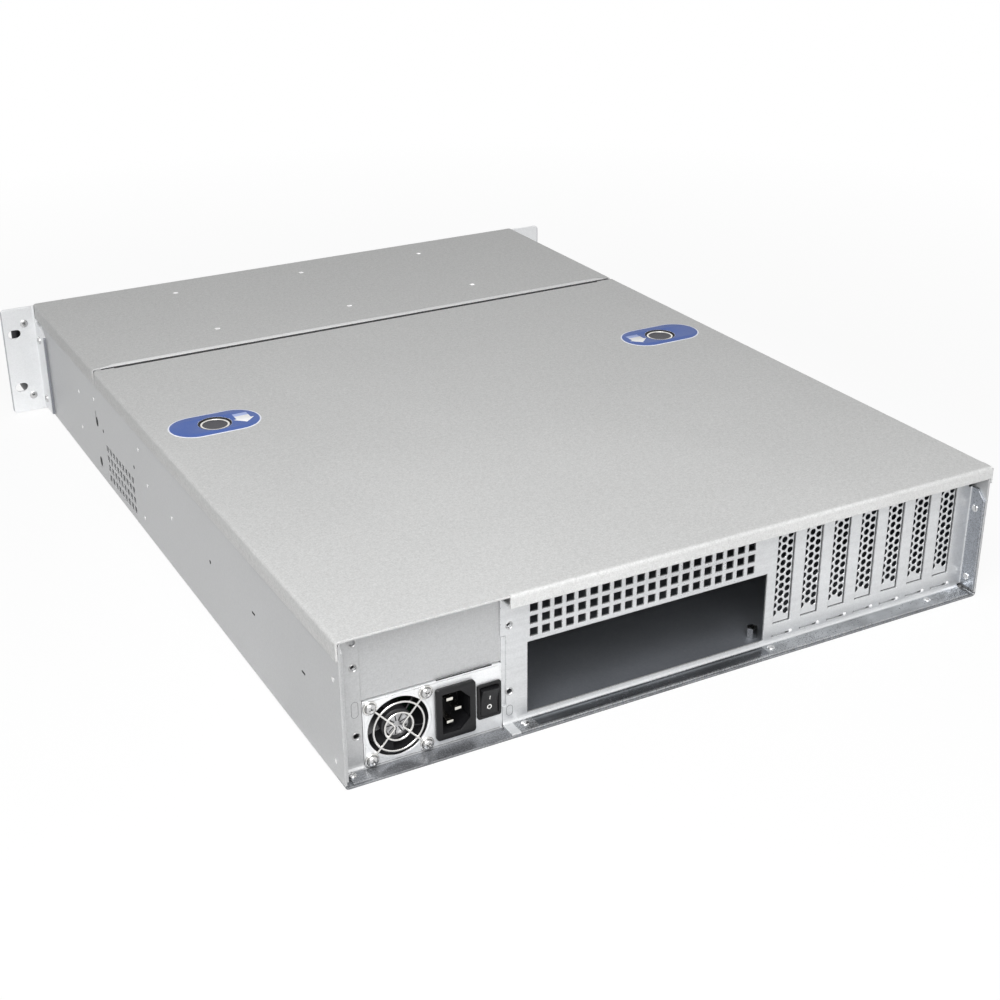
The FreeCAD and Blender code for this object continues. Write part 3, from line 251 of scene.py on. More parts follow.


# Light colour of the edges, partly real wear and partly painted highlight
worn_zinc_and_painted_highlight = (0.86, 0.86, 0.86, 1)


def empty_tree(kind, name):
    """A new material or world and its node tree without any node."""
    made = kind.new(name)
    made.use_nodes = True
    made.node_tree.nodes.clear()
    return made, made.node_tree


def new_material(name):
    """A material with its Principled shader and the object's own coordinates."""
    material, tree = empty_tree(bpy.data.materials, name)
    shader = add(tree, "ShaderNodeBsdfPrincipled")
    add(tree, "ShaderNodeOutputMaterial", Surface=shader.outputs[0])
    return material, tree, shader, add(tree, "ShaderNodeTexCoord").outputs["Object"]


def use_group(tree, group, place, **inputs):
    return add(tree, "ShaderNodeGroup", {"node_tree": group}, Place=place, **inputs).outputs


def zinc_sheet(name, colour, roughness, metallic, contrast=0.1, patch=0.05, edge=0.0006, streaks=None,
               bump=0.06, zones=()):
    """Galvanised or plated sheet: grain, patches, streaks where given, and bright edges that are partly real
    wear and partly painted highlight.
    A zone is a box in millimetres with its own tint, its blotches and how much smoother it is; some zones
    paint shade or light into the tint."""
    material, tree, shader, place = new_material(name)
    grain = use_group(tree, zinc_grain, place, Colour=(*colour, 1), Contrast=contrast, Patch_Depth=patch,
                      Roughness=roughness)
    edges = use_group(tree, edge_wear_and_painted_highlight, place, Width=edge, Wear=0.5)
    tone, height = grain["Colour"], grain["Height"]
    if streaks:
        rolled = use_group(tree, roll_streaks, place, Along=streaks[0], Depth=streaks[1])
        tone = shaded(tree, tone, rolled["Shade"])
        height = plus(tree, height, rolled["Height"])
    smooth = times(tree, edges["Mask"], 0.12)
    for low, high, tint, along, blotch, polish in zones:
        middle = [(a + b) / 2 * MM for a, b in zip(low, high)]
        half = [(b - a) / 2 * MM for a, b in zip(low, high)]
        inside = use_group(tree, within_box, place, Middle=middle, Half=half)["Mask"]
        marks = use_group(tree, roll_streaks, place, Along=along, Depth=blotch)["Shade"]
        mottled = shaded(tree, (*tint, 1), marks)
        tone = blend_colour(tree, inside, tone, blend_colour(tree, 1.0, tone, mottled, "MULTIPLY"))
        smooth = plus(tree, smooth, times(tree, inside, polish))
    # The edge colour is partly painted highlight
    connect(tree, shader, Base_Color=blend_colour(tree, edges["Mask"], tone, worn_zinc_and_painted_highlight),
            Roughness=minus(tree, grain["Roughness"], smooth, clamp=True), Metallic=metallic,
            Normal=relief(tree, bump, 0.0004, height, Normal=edges["Normal"]))
    return material


def moulded(name, colour, roughness, dust=0.12, bump=0.12, grain=1500.0, edge=0.0004, sheen=0.5):
    """Moulded plastic, paint or print with grain, a trace of dust and slightly polished edges."""
    material, tree, shader, place = new_material(name)
    skin = use_group(tree, moulded_grain, place, Colour=(*colour, 1), Dust_Amount=dust, Grain=grain,
                     Roughness=roughness)
    edges = use_group(tree, edge_wear_and_painted_highlight, place, Width=edge, Wear=0.35, Scale=260.0)
    polished = tuple(min(1.0, value * 1.6 + 0.02) for value in colour) + (1,)
    connect(tree, shader, Base_Color=blend_colour(tree, edges["Mask"], skin["Colour"], polished),
            Roughness=skin["Roughness"], Specular_IOR_Level=sheen,
            Normal=relief(tree, bump, 0.0003, skin["Height"], Normal=edges["Normal"]))
    return material


def bright_metal(name, colour, roughness, grain=2400.0, contrast=0.06):
    """Plated or polished metal with fine scratches and uneven gloss."""
    material, tree, shader, place = new_material(name)
    skin = use_group(tree, zinc_grain, place, Colour=(*colour, 1), Grain=grain, Contrast=contrast,
                     Patches=60.0, Patch_Depth=0.06, Roughness=roughness)
    connect(tree, shader, Base_Color=skin["Colour"], Roughness=skin["Roughness"], Metallic=1.0,
            Normal=relief(tree, 0.04, 0.0002, skin["Height"]))
    return material


# Flat prints have almost no edge, because they lie on each other
thin_edge = dict(dust=0.02, bump=0.02, edge=0.00002)
# Painted shadow: a near-black look for flat strips, rings and discs that stand in for the shade in gaps,
# grooves and holes; it also draws the dark lines on the hub foil
shadow = dict(colour=(0.02, 0.02, 0.022), roughness=0.8, dust=0.02, bump=0.02)

# Zones of the sheet: the rear panel's foot, the tray's rear edge, the foot by the connector opening,
# painted shade inside the case, on the wall flange and on the ears' edges, and painted light on the lid's
# rear lip
panel_foot = ((-214, 289.6, -1), (110, 301, 2.8), (0.52, 0.53, 0.545), (26.0, 60.0, 40.0), 0.30, 0.06)
floor_flange = ((-214, 289.2, -1), (214, 301, 2.6), (0.38, 0.39, 0.41), (22.0, 90.0, 40.0), 0.42, 0.16)
opening_foot = ((-57, 290.0, -1), (98, 298.0, 2.8), (0.46, 0.47, 0.49), (6.0, 420.0, 40.0), 0.40, 0.04)
# Painted shade: the inside of the case darkened and tinted blue where shade falls
painted_shade_inside = ((-212.6, -290, 1.1), (212.6, 286.8, 86), (0.28, 0.31, 0.37), (9.0, 9.0, 9.0), 0.08, 0.0)
# Painted shade: the far wall flange darker and bluer where less light falls on it
painted_shade_wall_flange = ((-214, 288.8, 3.4), (-207, 301, 86), (0.52, 0.54, 0.58), (40.0, 40.0, 14.0), 0.10, 0.06)
# Painted shade: the ears' edge faces darkened
painted_shade_ear_edges = [((low, y0, 0), (high, y1, 90), tint, (30.0, 30.0, 30.0), 0.05, 0.0)
             for a, b, y0, y1, tint in ((213.0, 217.0, -276.8, -275.0, (0.34, 0.35, 0.38)),
                                        (240.7, 243.0, -301, -297, (0.5, 0.51, 0.53)))
             for low, high in ((a, b), (-b, -a))]
# Painted light: the lid's rear lip lighter than the rest of the lid where it faces the light
painted_light_rolled_lip = ((-216, 298.9, 79), (118, 301, 87.6), (1.12, 1.12, 1.12), (12.0, 60.0, 60.0), 0.03, 0.08)
looks = {
    "tray_steel": zinc_sheet("tray_zinc", (0.485, 0.49, 0.495), 0.42, 0.55, contrast=0.08, bump=0.012,
                             zones=(floor_flange, painted_shade_inside)),
    "lid_steel": zinc_sheet("lid_zinc", (0.553, 0.555, 0.551), 0.66, 0.15, contrast=0.13, patch=0.03,
                            zones=(painted_light_rolled_lip,)),
    "rear_steel": zinc_sheet("rear_zinc", (0.66, 0.67, 0.68), 0.34, 0.7, contrast=0.06, bump=0.02,
                             streaks=((20.0, 320.0, 320.0), 0.05),
                             zones=(panel_foot, opening_foot, painted_shade_wall_flange)),
    "blank_steel": zinc_sheet("blank_zinc", (0.48, 0.485, 0.49), 0.44, 0.5),
    "supply_steel": zinc_sheet("supply_plating", (0.84, 0.85, 0.86), 0.34, 0.5, contrast=0.04),
    "ear_steel": zinc_sheet("ear_plating", (0.80, 0.81, 0.82), 0.38, 0.5, contrast=0.04, zones=painted_shade_ear_edges),
    "cup_steel": zinc_sheet("cup_zinc", (0.5, 0.5, 0.5), 0.4, 0.8),
    "knock_out": zinc_sheet("knock_out_line", (0.16, 0.16, 0.17), 0.4, 0.5, edge=0.00003),
    # Painted highlight: the pressed slit ends far lighter than the sheet
    "slit_tip_painted_highlight": zinc_sheet("pressed_end_painted_highlight", (0.92, 0.92, 0.92), 0.3, 0.3, contrast=0.03),
    # Painted highlight: a pure white strip for the light on the front cover's rolled edge
    "seam_edge_painted_highlight": zinc_sheet("rolled_edge_painted_highlight", (1.0, 1.0, 1.0), 0.5, 0.0, contrast=0.02, edge=0.00003),
    "handle_metal": bright_metal("handle_black_plating", (0.045, 0.045, 0.048), 0.34),
    "screw_steel": bright_metal("screw_plating", (0.60, 0.60, 0.60), 0.26),
    "rivet_steel": bright_metal("rivet_plating", (0.78, 0.78, 0.78), 0.2),
    "guard_wire": bright_metal("guard_plating", (0.76, 0.75, 0.73), 0.16),
    "pin_metal": bright_metal("pin_plating", (0.78, 0.76, 0.70), 0.2),
    "latch_ring": bright_metal("ring_plating", (0.80, 0.78, 0.74), 0.3),
    "hub_foil": bright_metal("hub_foil", (0.52, 0.52, 0.53), 0.3, grain=500.0, contrast=0.25),
    "thread": bright_metal("thread_glint", (0.5, 0.5, 0.5), 0.3),
    "label_blue": moulded("label_print", (0.050, 0.108, 0.36), 0.5, **thin_edge),
    "label_border": moulded("label_border", (0.90, 0.92, 1.0), 0.6, **thin_edge),
    "arrow": moulded("arrow_print", (1.0, 1.0, 1.0), 0.8, **thin_edge),
    "arrow_tail": moulded("arrow_tail_print", (0.42, 0.50, 0.80), 0.6, **thin_edge),
    "switch_mark": moulded("switch_mark", (0.80, 0.80, 0.78), 0.4, **thin_edge),
    # Painted shadow looks
    "gap": moulded("gap_shadow", **shadow),
    "wall_hole": moulded("wall_hole_shadow", **shadow),
    "latch_black": moulded("latch_rubber", (0.035, 0.034, 0.042), 0.55),
    "panel_paint": moulded("panel_paint", (0.30, 0.305, 0.31), 0.5, dust=0.05, bump=0.16, grain=900.0),
    "button_plastic": moulded("button_plastic", (0.05, 0.05, 0.052), 0.42),
    "lamp_plastic": moulded("lamp_plastic", (0.62, 0.64, 0.60), 0.3, dust=0.03, bump=0.03),
    "board_green": moulded("board_lacquer", (0.02, 0.13, 0.055), 0.35, dust=0.08, grain=600.0),
    "board_parts": moulded("board_parts", (0.22, 0.2, 0.12), 0.5, dust=0.15),
    "fan_plastic": moulded("fan_plastic", (0.022, 0.022, 0.024), 0.42, dust=0.15),
    "inlet_black": moulded("inlet_plastic", (0.007, 0.007, 0.008), 0.34, dust=0.05, sheen=0.3),
    "rocker_black": moulded("rocker_plastic", (0.008, 0.008, 0.009), 0.3, dust=0.04, bump=0.05, sheen=0.35),
}


def dress_cad_nodes():
    """Every carried-over node takes the finish of its material slot in the record."""
    slots = {part["node"]: part["material_slot"] for part in frame["record"]["subparts"]}
    for name, item in frame["nodes"].items():
        item.data.materials.clear()
        item.data.materials.append(looks[slots[name]])


dress_cad_nodes()


# Sizes of the case that the dressed pieces follow, in millimetres
lid_top = 88.0
front_y = -300.0
wall_x = 213.6
sheet = 1.2
seam_y = -130.0
finger_x = 172.0
finger_y = 4.5
label_straight = 26.6
label_radius = 17.6
label_hole = 11.0
label_rim = 1.0
handle_x = 224.3
handle_ends = (14.0, 74.0)
handle_rod = 4.0
handle_reach = -334.0
panel_y = 288.4
shelf_top = 81.4
slot_pitch = 20.32
slot_middle = -71.25
slot_count = 7
slot_middles = [slot_middle - i * slot_pitch for i in range(slot_count)]
slot_screw_y = 293.6
cover_width = 18.4
cover_sheet = 0.9
cover_foot = 9.0
supply_z = 21.45
supply_fan_x = 177.4
supply_screw = 16.0
inlet_x = 144.5
rocker_x = 124.1
strip_hole_x = 201.3
divider_hole_x = 111.2
strip_hole_heights = (22.3, 63.2, 77.8)
control_x = 196.0
flange_rivet_y = 293.0
flange_top = 2.4
signs = (-1, 1)
both_sides = ((-1, "left"), (1, "right"))
X = Vector((1, 0, 0))
Y = Vector((0, 1, 0))
Z = Vector((0, 0, 1))


# Outlines in millimetres
def arc(x, y, radius, start, end, steps=3):
    turns = [math.radians(start + (end - start) * i / steps) for i in range(steps + 1)]
    return [(x + radius * math.cos(t), y + radius * math.sin(t)) for t in turns]


def circle(x, y, radius, steps=32):
    return arc(x, y, radius, 0.0, 360.0, steps)[:-1]


def rectangle(x0, y0, x1, y1):
    return [(x0, y0), (x1, y0), (x1, y1), (x0, y1)]


def rounded_outline(x, y, width, height, radius):
    w, h = width / 2 - radius, height / 2 - radius
    corners = enumerate(((w, h), (-w, h), (-w, -h), (w, -h)))
    return [point for i, (a, b) in corners for point in arc(x + a, y + b, radius, 90 * i, 90 * i + 90, 6)]


def obround_outline(x, y, straight, radius, steps=20):
    return (arc(x + straight / 2, y, radius, -90, 90, steps)
            + arc(x - straight / 2, y, radius, 90, 270, steps))


def upright_obround(x, y, straight, radius, steps):
    return [(a, b) for b, a in obround_outline(y, x, straight, radius, steps)]


# Meshes
def closed(mesh):
    """Merges doubled points and turns every face outwards."""
    work = bmesh.new()
    work.from_mesh(mesh)
    bmesh.ops.remove_doubles(work, verts=work.verts, dist=1e-6)
    bmesh.ops.recalc_face_normals(work, faces=work.faces)
    work.to_mesh(mesh)
    work.free()
    return mesh


def new_mesh(name, points, faces=()):
    mesh = bpy.data.meshes.new(name)
    mesh.from_pydata(points, [], faces)
    return mesh


def plain_mesh(item):
    """The evaluated mesh of a helper object, which is then removed."""
    graph = bpy.context.evaluated_depsgraph_get()
    mesh = bpy.data.meshes.new_from_object(item.evaluated_get(graph))
    bpy.data.objects.remove(item)
    return mesh


def shifted(mesh, offset):
    """The mesh moved by the offset in millimetres."""
    mesh.transform(Matrix.Translation(Vector(offset) * MM))
    return mesh


def in_look(mesh, look):
    """The mesh with the look as its only material."""
    mesh.materials.clear()
    mesh.materials.append(looks[look])
    return mesh


def plate(outlines, thickness, edge, origin, across=X, up=Y):
    """A flat plate with holes and softened edges, its back on the origin's plane."""
    curve = bpy.data.curves.new("outline", "CURVE")
    curve.dimensions = "2D"
    curve.fill_mode = "BOTH"
    curve.extrude = (thickness / 2 - edge) * MM
    curve.bevel_depth = edge * MM
    curve.bevel_resolution = 1
    curve.offset = -edge * MM
    for outline in outlines:
        spline = curve.splines.new("POLY")
        spline.points.add(len(outline) - 1)
        for point, (a, b) in zip(spline.points, outline):
            point.co = (a * MM, b * MM, 0.0, 1.0)
        spline.use_cyclic_u = True
    mesh = plain_mesh(place_object("outline", curve))
    normal = across.cross(up)
    turn = Matrix((across, up, normal)).transposed().to_4x4()
    middle = (Vector(origin) + normal * (thickness / 2)) * MM
    mesh.transform(Matrix.Translation(middle) @ turn)
    return closed(mesh)


def upright(outlines, thickness, edge, y):
    """A plate drawn in X and Z whose rear face stands at y + thickness, seen from the rear."""
    flipped = [[(-a, b) for a, b in outline] for outline in outlines]
    return plate(flipped, thickness, edge, (0, y, 0), -X, Z)


def turned(profile, centre, direction, sides=40):
    """A turned mesh from (radius, height) points. One that leaves the axis open closes on itself."""
    across = X if abs(direction.x) < 0.5 else Y
    other = direction.cross(across)
    points = []
    rings = []
    for radius, height in profile:
        middle = Vector(centre) + direction * height
        ring = circle(0, 0, radius, sides) if radius else [(0, 0)]
        rings.append([len(points) + i for i in range(len(ring))])
        points += [(middle + across * a + other * b) * MM for a, b in ring]
    pairs = list(zip(rings, rings[1:]))
    if profile[0][0] and profile[-1][0]:
        pairs.append((rings[-1], rings[0]))
    faces = []
    for a, b in pairs:
        for i, j in zip(range(sides), [*range(1, sides), 0]):
            corners = (a[i % len(a)], a[j % len(a)], b[j % len(b)], b[i % len(b)])
            faces.append(tuple(dict.fromkeys(corners)))
    return closed(new_mesh("turned", points, faces))


def block(low, high, edge, segments=2):
    """A box with rounded edges between two corners in millimetres."""
    work = bmesh.new()
    bmesh.ops.create_cube(work, size=1.0)
    for vert in work.verts:
        vert.co = Vector([(low[i] if vert.co[i] < 0 else high[i]) * MM for i in range(3)])
    bmesh.ops.bevel(work, geom=list(work.edges), offset=edge * MM, segments=segments, profile=0.5,
                    affect="EDGES")
    mesh = bpy.data.meshes.new("block")
    work.to_mesh(mesh)
    work.free()
    return closed(mesh)


def assemble(name, meshes, body, slot, *nodes, sharp=34.0):
    """One piece from meshes with their own look or the slot's. It rides on its body and stands for
    the CAD nodes."""
    whole = bmesh.new()
    used = []
    for mesh in meshes:
        look = mesh.materials[0] if mesh.materials else looks[slot]
        if look not in used:
            used.append(look)
        first = len(whole.faces)
        whole.from_mesh(mesh)
        whole.faces.ensure_lookup_table()
        for face in whole.faces[first:]:
            face.material_index = used.index(look)
        bpy.data.meshes.remove(mesh)
    made = bpy.data.meshes.new(name)
    whole.to_mesh(made)
    whole.free()
    for look in used:
        made.materials.append(look)
    made.shade_smooth()
    made.set_sharp_from_angle(angle=math.radians(sharp))
    piece = place_object(name, made)
    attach(piece, body)
    if nodes:
        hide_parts(*nodes)


# Geometry Nodes trees for what repeats or follows a path
def node_tree(name, sizes, counts):
    """A tree with its geometry, sizes, counts and material as inputs."""
    tree = bpy.data.node_groups.new(name, "GeometryNodeTree")
    sockets = [("Geometry", "INPUT", "Geometry"), ("Geometry", "OUTPUT", "Geometry")]
    sockets += [(label, "INPUT", "Float") for label in sizes.split()]
    sockets += [(label, "INPUT", "Int") for label in counts.split()]
    for label, way, kind in sockets + [("Material", "INPUT", "Material")]:
        tree.interface.new_socket(name=label, in_out=way, socket_type="NodeSocket" + kind)
    return tree, tree.nodes.new("NodeGroupInput").outputs


def geo(tree, kind, settings=None, **inputs):
    return add(tree, "GeometryNode" + kind, settings, **inputs).outputs[0]


def end_tree(tree, given, geometry):
    """Every tree ends in real geometry with its material set."""
    real = geo(tree, "RealizeInstances", Geometry=geometry)
    dressed = geo(tree, "SetMaterial", Geometry=real, Material=given["Material"])
    tree.links.new(dressed, tree.nodes.new("NodeGroupOutput").inputs[0])
    return tree


def run_tree(tree, data, look, **values):
    """Runs a tree on a mesh or curve, with its sizes in millimetres, and returns a plain mesh."""
    item = place_object("made_by_nodes", data)
    modifier = item.modifiers.new("nodes", "NODES")
    modifier.node_group = tree
    for socket in tree.interface.items_tree:
        kind = socket.socket_type.removeprefix("NodeSocket")
        if socket.in_out != "INPUT" or kind == "Geometry":
            continue
        if kind == "Material":
            modifier[socket.identifier] = looks[look]
        else:
            value = values[socket.name]
            modifier[socket.identifier] = value if kind == "Int" else value * MM
    return in_look(closed(plain_mesh(item)), look)


def vector(tree, x=0.0, y=0.0, z=0.0):
    return add(tree, "ShaderNodeCombineXYZ", X=x, Y=y, Z=z).outputs[0]


def moved(tree, geometry, **change):
    return geo(tree, "Transform", Geometry=geometry, **change)


def combined(tree, geometries):
    both = add(tree, "GeometryNodeJoinGeometry")
    for geometry in geometries:
        tree.links.new(geometry, both.inputs[0])
    return both.outputs[0]


def make_fastener_tree(name, crossed):
    """Domed heads on short collars, one at each point, facing the point's direction."""
    tree, given = node_tree(name, "Radius Height Shank Length", "Seed")
    radius, height, length = given["Radius"], given["Height"], given["Length"]
    seat = times(tree, height, 0.42)
    ball = geo(tree, "MeshUVSphere", Segments=20, Rings=10, Radius=1.0)
    dome = moved(tree, ball, Translation=vector(tree, z=seat),
                 Scale=vector(tree, radius, radius, minus(tree, height, seat)))
    wide = times(tree, radius, 3.0)
    cutters = [((wide, wide, wide), minus(tree, seat, times(tree, wide, 0.5)))]
    if crossed:
        long, narrow = times(tree, radius, 1.15), times(tree, radius, 0.24)
        cutters += [((long, narrow, height), height), ((narrow, long, height), height)]
    head = add(tree, "GeometryNodeMeshBoolean", {"operation": "DIFFERENCE"}, i0=dome)
    for size, level in cutters:
        cube = geo(tree, "MeshCube", Size=vector(tree, *size))
        tree.links.new(moved(tree, cube, Translation=vector(tree, z=level)), head.inputs[1])
    collar = geo(tree, "MeshCylinder", Vertices=20, Radius=radius, Depth=seat)
    shank = geo(tree, "MeshCylinder", Vertices=12, Radius=given["Shank"], Depth=length)
    whole = combined(tree, [
        head.outputs[0], moved(tree, collar, Translation=vector(tree, z=times(tree, seat, 0.5))),
        moved(tree, shank, Translation=vector(tree, z=times(tree, length, -0.5)))])
    facing = geo(tree, "InputNamedAttribute", {"data_type": "FLOAT_VECTOR"}, Name="direction")
    aligned = add(tree, "FunctionNodeAlignRotationToVector", {"axis": "Z"}, Vector=facing).outputs[0]
    turn = add(tree, "FunctionNodeRandomValue", {"data_type": "FLOAT"}, i2=0.0, i3=math.pi / 2,
               Seed=given["Seed"]).outputs[1]
    spin = add(tree, "FunctionNodeAxisAngleToRotation", Axis=(0, 0, 1), Angle=turn).outputs[0]
    way = add(tree, "FunctionNodeRotateRotation", {"rotation_space": "LOCAL"}, Rotation=aligned,
              Rotate_By=spin).outputs[0]
    return end_tree(tree, given, geo(tree, "InstanceOnPoints", Points=given["Geometry"], Instance=whole,
                                     Rotation=way))


def make_wire_tree():
    """Round wire or rod along a path, with its corners bent round a radius."""
    tree, given = node_tree("round_wire", "Radius Bend", "Sides")
    bent = geo(tree, "FilletCurve", {"mode": "POLY"}, Curve=given["Geometry"], Count=6,
               Radius=given["Bend"], Limit_Radius=True)
    ring = geo(tree, "CurvePrimitiveCircle", {"mode": "RADIUS"}, Resolution=given["Sides"],
               Radius=given["Radius"])
    return end_tree(tree, given, geo(tree, "CurveToMesh", Curve=bent, Profile_Curve=ring, Fill_Caps=True))


def make_perforation_tree():
    """Upright perforated strips with three staggered columns of round holes, one at each point."""
    tree, given = node_tree("perforated_strip", "Width Height Sheet Hole Pitch First Aside", "Rows")
    outline = geo(tree, "CurvePrimitiveQuadrilateral", Width=given["Width"], Height=given["Height"])
    curves = [moved(tree, outline, Translation=vector(tree, y=times(tree, given["Height"], 0.5)))]
    hole = geo(tree, "CurvePrimitiveCircle", {"mode": "RADIUS"}, Resolution=16, Radius=given["Hole"])
    side = times(tree, given["Pitch"], math.cos(math.radians(30)))
    step = vector(tree, y=given["Pitch"])
    for column in (-1, 0, 1):
        count = given["Rows"] if column else minus(tree, given["Rows"], 1.0)
        first = plus(tree, given["First"], times(tree, given["Pitch"], 0.0 if column else 0.5))
        aside = plus(tree, times(tree, side, float(column)), given["Aside"])
        line = geo(tree, "MeshLine", {"mode": "OFFSET"}, Count=count,
                   Start_Location=vector(tree, x=aside, y=first), Offset=step)
        curves.append(geo(tree, "InstanceOnPoints", Points=line, Instance=hole))
    face = geo(tree, "FillCurve", Curve=geo(tree, "RealizeInstances", Geometry=combined(tree, curves)))
    lifted = geo(tree, "ExtrudeMesh", Mesh=face, Offset=(0.0, 0.0, 1.0), Offset_Scale=given["Sheet"],
                 Individual=False)
    under = geo(tree, "FlipFaces", Mesh=face)
    strip = moved(tree, combined(tree, [lifted, under]), Rotation=(math.pi / 2, 0.0, 0.0))
    return end_tree(tree, given, geo(tree, "InstanceOnPoints", Points=given["Geometry"], Instance=strip))


def make_round_tree():
    """Copies of one blade, spoke or ray, turned about the Y axis of the origin."""
    tree, given = node_tree("round_the_axis", "", "Count")
    points = geo(tree, "MeshLine", {"mode": "OFFSET"}, Count=given["Count"], Offset=(0.0, 0.0, 0.0))
    share = calc(tree, "DIVIDE", times(tree, geo(tree, "InputIndex"), 2 * math.pi), given["Count"])
    spin = add(tree, "FunctionNodeAxisAngleToRotation", Axis=(0, 1, 0), Angle=share).outputs[0]
    return end_tree(tree, given, geo(tree, "InstanceOnPoints", Points=points, Instance=given["Geometry"],
                                     Rotation=spin))


screw_tree = make_fastener_tree("crossed_screws", True)
rivet_tree = make_fastener_tree("domed_rivets", False)
wire_tree = make_wire_tree()
perforation_tree = make_perforation_tree()
round_tree = make_round_tree()


def fasteners(tree, places, look, radius, height, shank, length, seed=3):
    """Heads on loose points, each with the direction that its fastener faces."""
    mesh = new_mesh("fastener_points", [Vector(place) * MM for place, facing in places])
    facing = mesh.attributes.new("direction", "FLOAT_VECTOR", "POINT")
    for i, (place, direction) in enumerate(places):
        facing.data[i].vector = direction
    return run_tree(tree, mesh, look, Radius=radius, Height=height, Shank=shank, Length=length, Seed=seed)


def rods(paths, radius, bend_radius, look, sides=12):
    """Wire along straight runs in millimetres. A path that ends where it starts is closed."""
    curve = bpy.data.curves.new("path", "CURVE")
    curve.dimensions = "3D"
    for points in paths:
        ring = points[0] == points[-1]
        used = points[:-1] if ring else points
        spline = curve.splines.new("POLY")
        spline.points.add(len(used) - 1)
        for point, place in zip(spline.points, used):
            point.co = (*(Vector(place) * MM), 1.0)
        spline.use_cyclic_u = ring
    return run_tree(wire_tree, curve, look, Radius=radius, Bend=bend_radius, Sides=sides)


# Screws and rivets: piece, CAD node, places, then the radius, height, shank, length and seed
slot_places = [((x, slot_screw_y, shelf_top + cover_sheet), Z) for x in slot_middles]
guard_places = [((supply_fan_x + a * supply_screw, panel_y + 1.3, supply_z + b * supply_screw), Y)
                for a in signs for b in signs]
ear_places = [((side * 215.6, -290.0, z), X * side) for side in signs for z in (12.0, 61.0)]
handle_places = [((side * handle_x, front_y + 2.0, z), Y) for side in signs for z in handle_ends]
for name, node, places, *sizes in (
        ("crossed_slot_screws", "slot_screws", slot_places, 3.1, 1.9, 1.85, 0.9),
        ("crossed_guard_screws", "guard_screws", guard_places, 2.95, 1.9, 1.85, 1.3, 7),
        ("crossed_ear_screws", "ear_screws", ear_places, 3.1, 1.5, 1.85, 3.2, 11),
        ("crossed_handle_screws", "handle_screws", handle_places, 3.1, 1.1, 1.85, 10.0, 5)):
    assemble(name, [fasteners(screw_tree, places, "screw_steel", *sizes)], "case", "screw_steel", node)
cover_places = [((x, y, lid_top), Z) for x in (-108.0, 0.0, 108.0) for y in (-270.0, -171.0)]
rear_places = [((x, flange_rivet_y, flange_top), Z) for x in (-181.0, -61.5, 104.0)]
rear_places += [((-211.2, flange_rivet_y, z), X) for z in (11.0, 58.0)]
wall_places = [((side * wall_x, y, z), X * side) for side in signs
               for y, z in ((-184.8, 53.5), (-187.0, 24.3), (-142.0, 62.2), (-35.3, 63.2), (-20.8, 42.7),
                            (-35.6, 12.8), (29.2, 40.2), (291.5, 62.1), (289.5, 12.0))]
floor_screw = [((206.5, flange_rivet_y, flange_top), Z)]
assemble("domed_cover_rivets", [fasteners(rivet_tree, cover_places, "rivet_steel", 2.1, 0.55, 1.2, 0.5)],
         "case", "rivet_steel", "cover_rivets")
assemble("domed_rear_rivets", [fasteners(rivet_tree, rear_places, "rivet_steel", 2.3, 0.95, 1.2, 0.5),
                               fasteners(screw_tree, floor_screw, "screw_steel", 2.4, 1.4, 1.2, 0.5)],
         "case", "rivet_steel", "rear_rivets")
assemble("domed_wall_rivets", [fasteners(rivet_tree, wall_places, "rivet_steel", 1.5, 0.3, 0.9, 0.5)],
         "case", "rivet_steel")


# Round-holed slot covers with their tabs and foot tongues
def make_slot_covers():
    near = panel_y - sheet - cover_sheet
    points = new_mesh("cover_points", [Vector((x, near + cover_sheet, cover_foot)) * MM
                                       for x in slot_middles])
    parts = [run_tree(perforation_tree, points, "rear_steel", Width=cover_width,
                      Height=shelf_top - cover_foot, Sheet=0.45, Hole=1.95, Pitch=5.0,
                      First=21.2 - cover_foot, Aside=0.8, Rows=12)]
    tab_end = panel_y + 9.4
    notch = 2.05
    half = cover_width / 2
    for x in slot_middles:
        tab = [(x - half, near), (x + half, near), (x + half, tab_end), (x + notch, tab_end)]
        tab += arc(x, slot_screw_y, notch, 0.0, -180.0, 10)
        tab += [(x - notch, tab_end), (x - half, tab_end)]
        parts.append(plate([tab], cover_sheet, 0.12, (0, 0, shelf_top)))
        tongue = [(x + a, 4.8) for a in (-4.5, -3.7, 3.7, 4.5)]
        tongue += [(x + 4.5, cover_foot), (x - 4.5, cover_foot)]
        parts.append(upright([tongue], cover_sheet, 0.12, near))
    names = ["slot_cover_%d" % (i + 1) for i in range(slot_count)]
    assemble("perforated_slot_covers", parts, "case", "rear_steel", *names)


make_slot_covers()


# Wire guard of the power supply's fan: two rings, two bent wires and an eye round each screw
def make_fan_guard():
    wire = 0.65
    eye_radius = 3.5
    middle = Vector((supply_fan_x, panel_y + wire, supply_z))

    def ring(centre, radius, steps):
        places = [(x, centre.y, z) for x, z in circle(centre.x, centre.z, radius, steps)]
        return places + places[:1]

    parts = [rods([ring(middle, 14.6, 48), ring(middle, 8.2, 36)], wire, 0.0, "guard_wire")]
    legs = []
    for side in signs:
        waist = middle + X * (side * 1.6)
        runs = []
        for level in signs:
            eye = middle + X * (side * supply_screw) + Z * (level * supply_screw)
            parts.append(rods([ring(eye, eye_radius, 24)], wire, 0.0, "guard_wire"))
            runs.append(tuple(eye + (waist - eye).normalized() * eye_radius))
        legs.append([runs[0], tuple(waist), runs[1]])
    parts.append(rods(legs, wire, 2.4, "guard_wire"))
    assemble("round_wire_guard", parts, "case", "guard_wire", "fan_guard", sharp=60.0)


make_fan_guard()


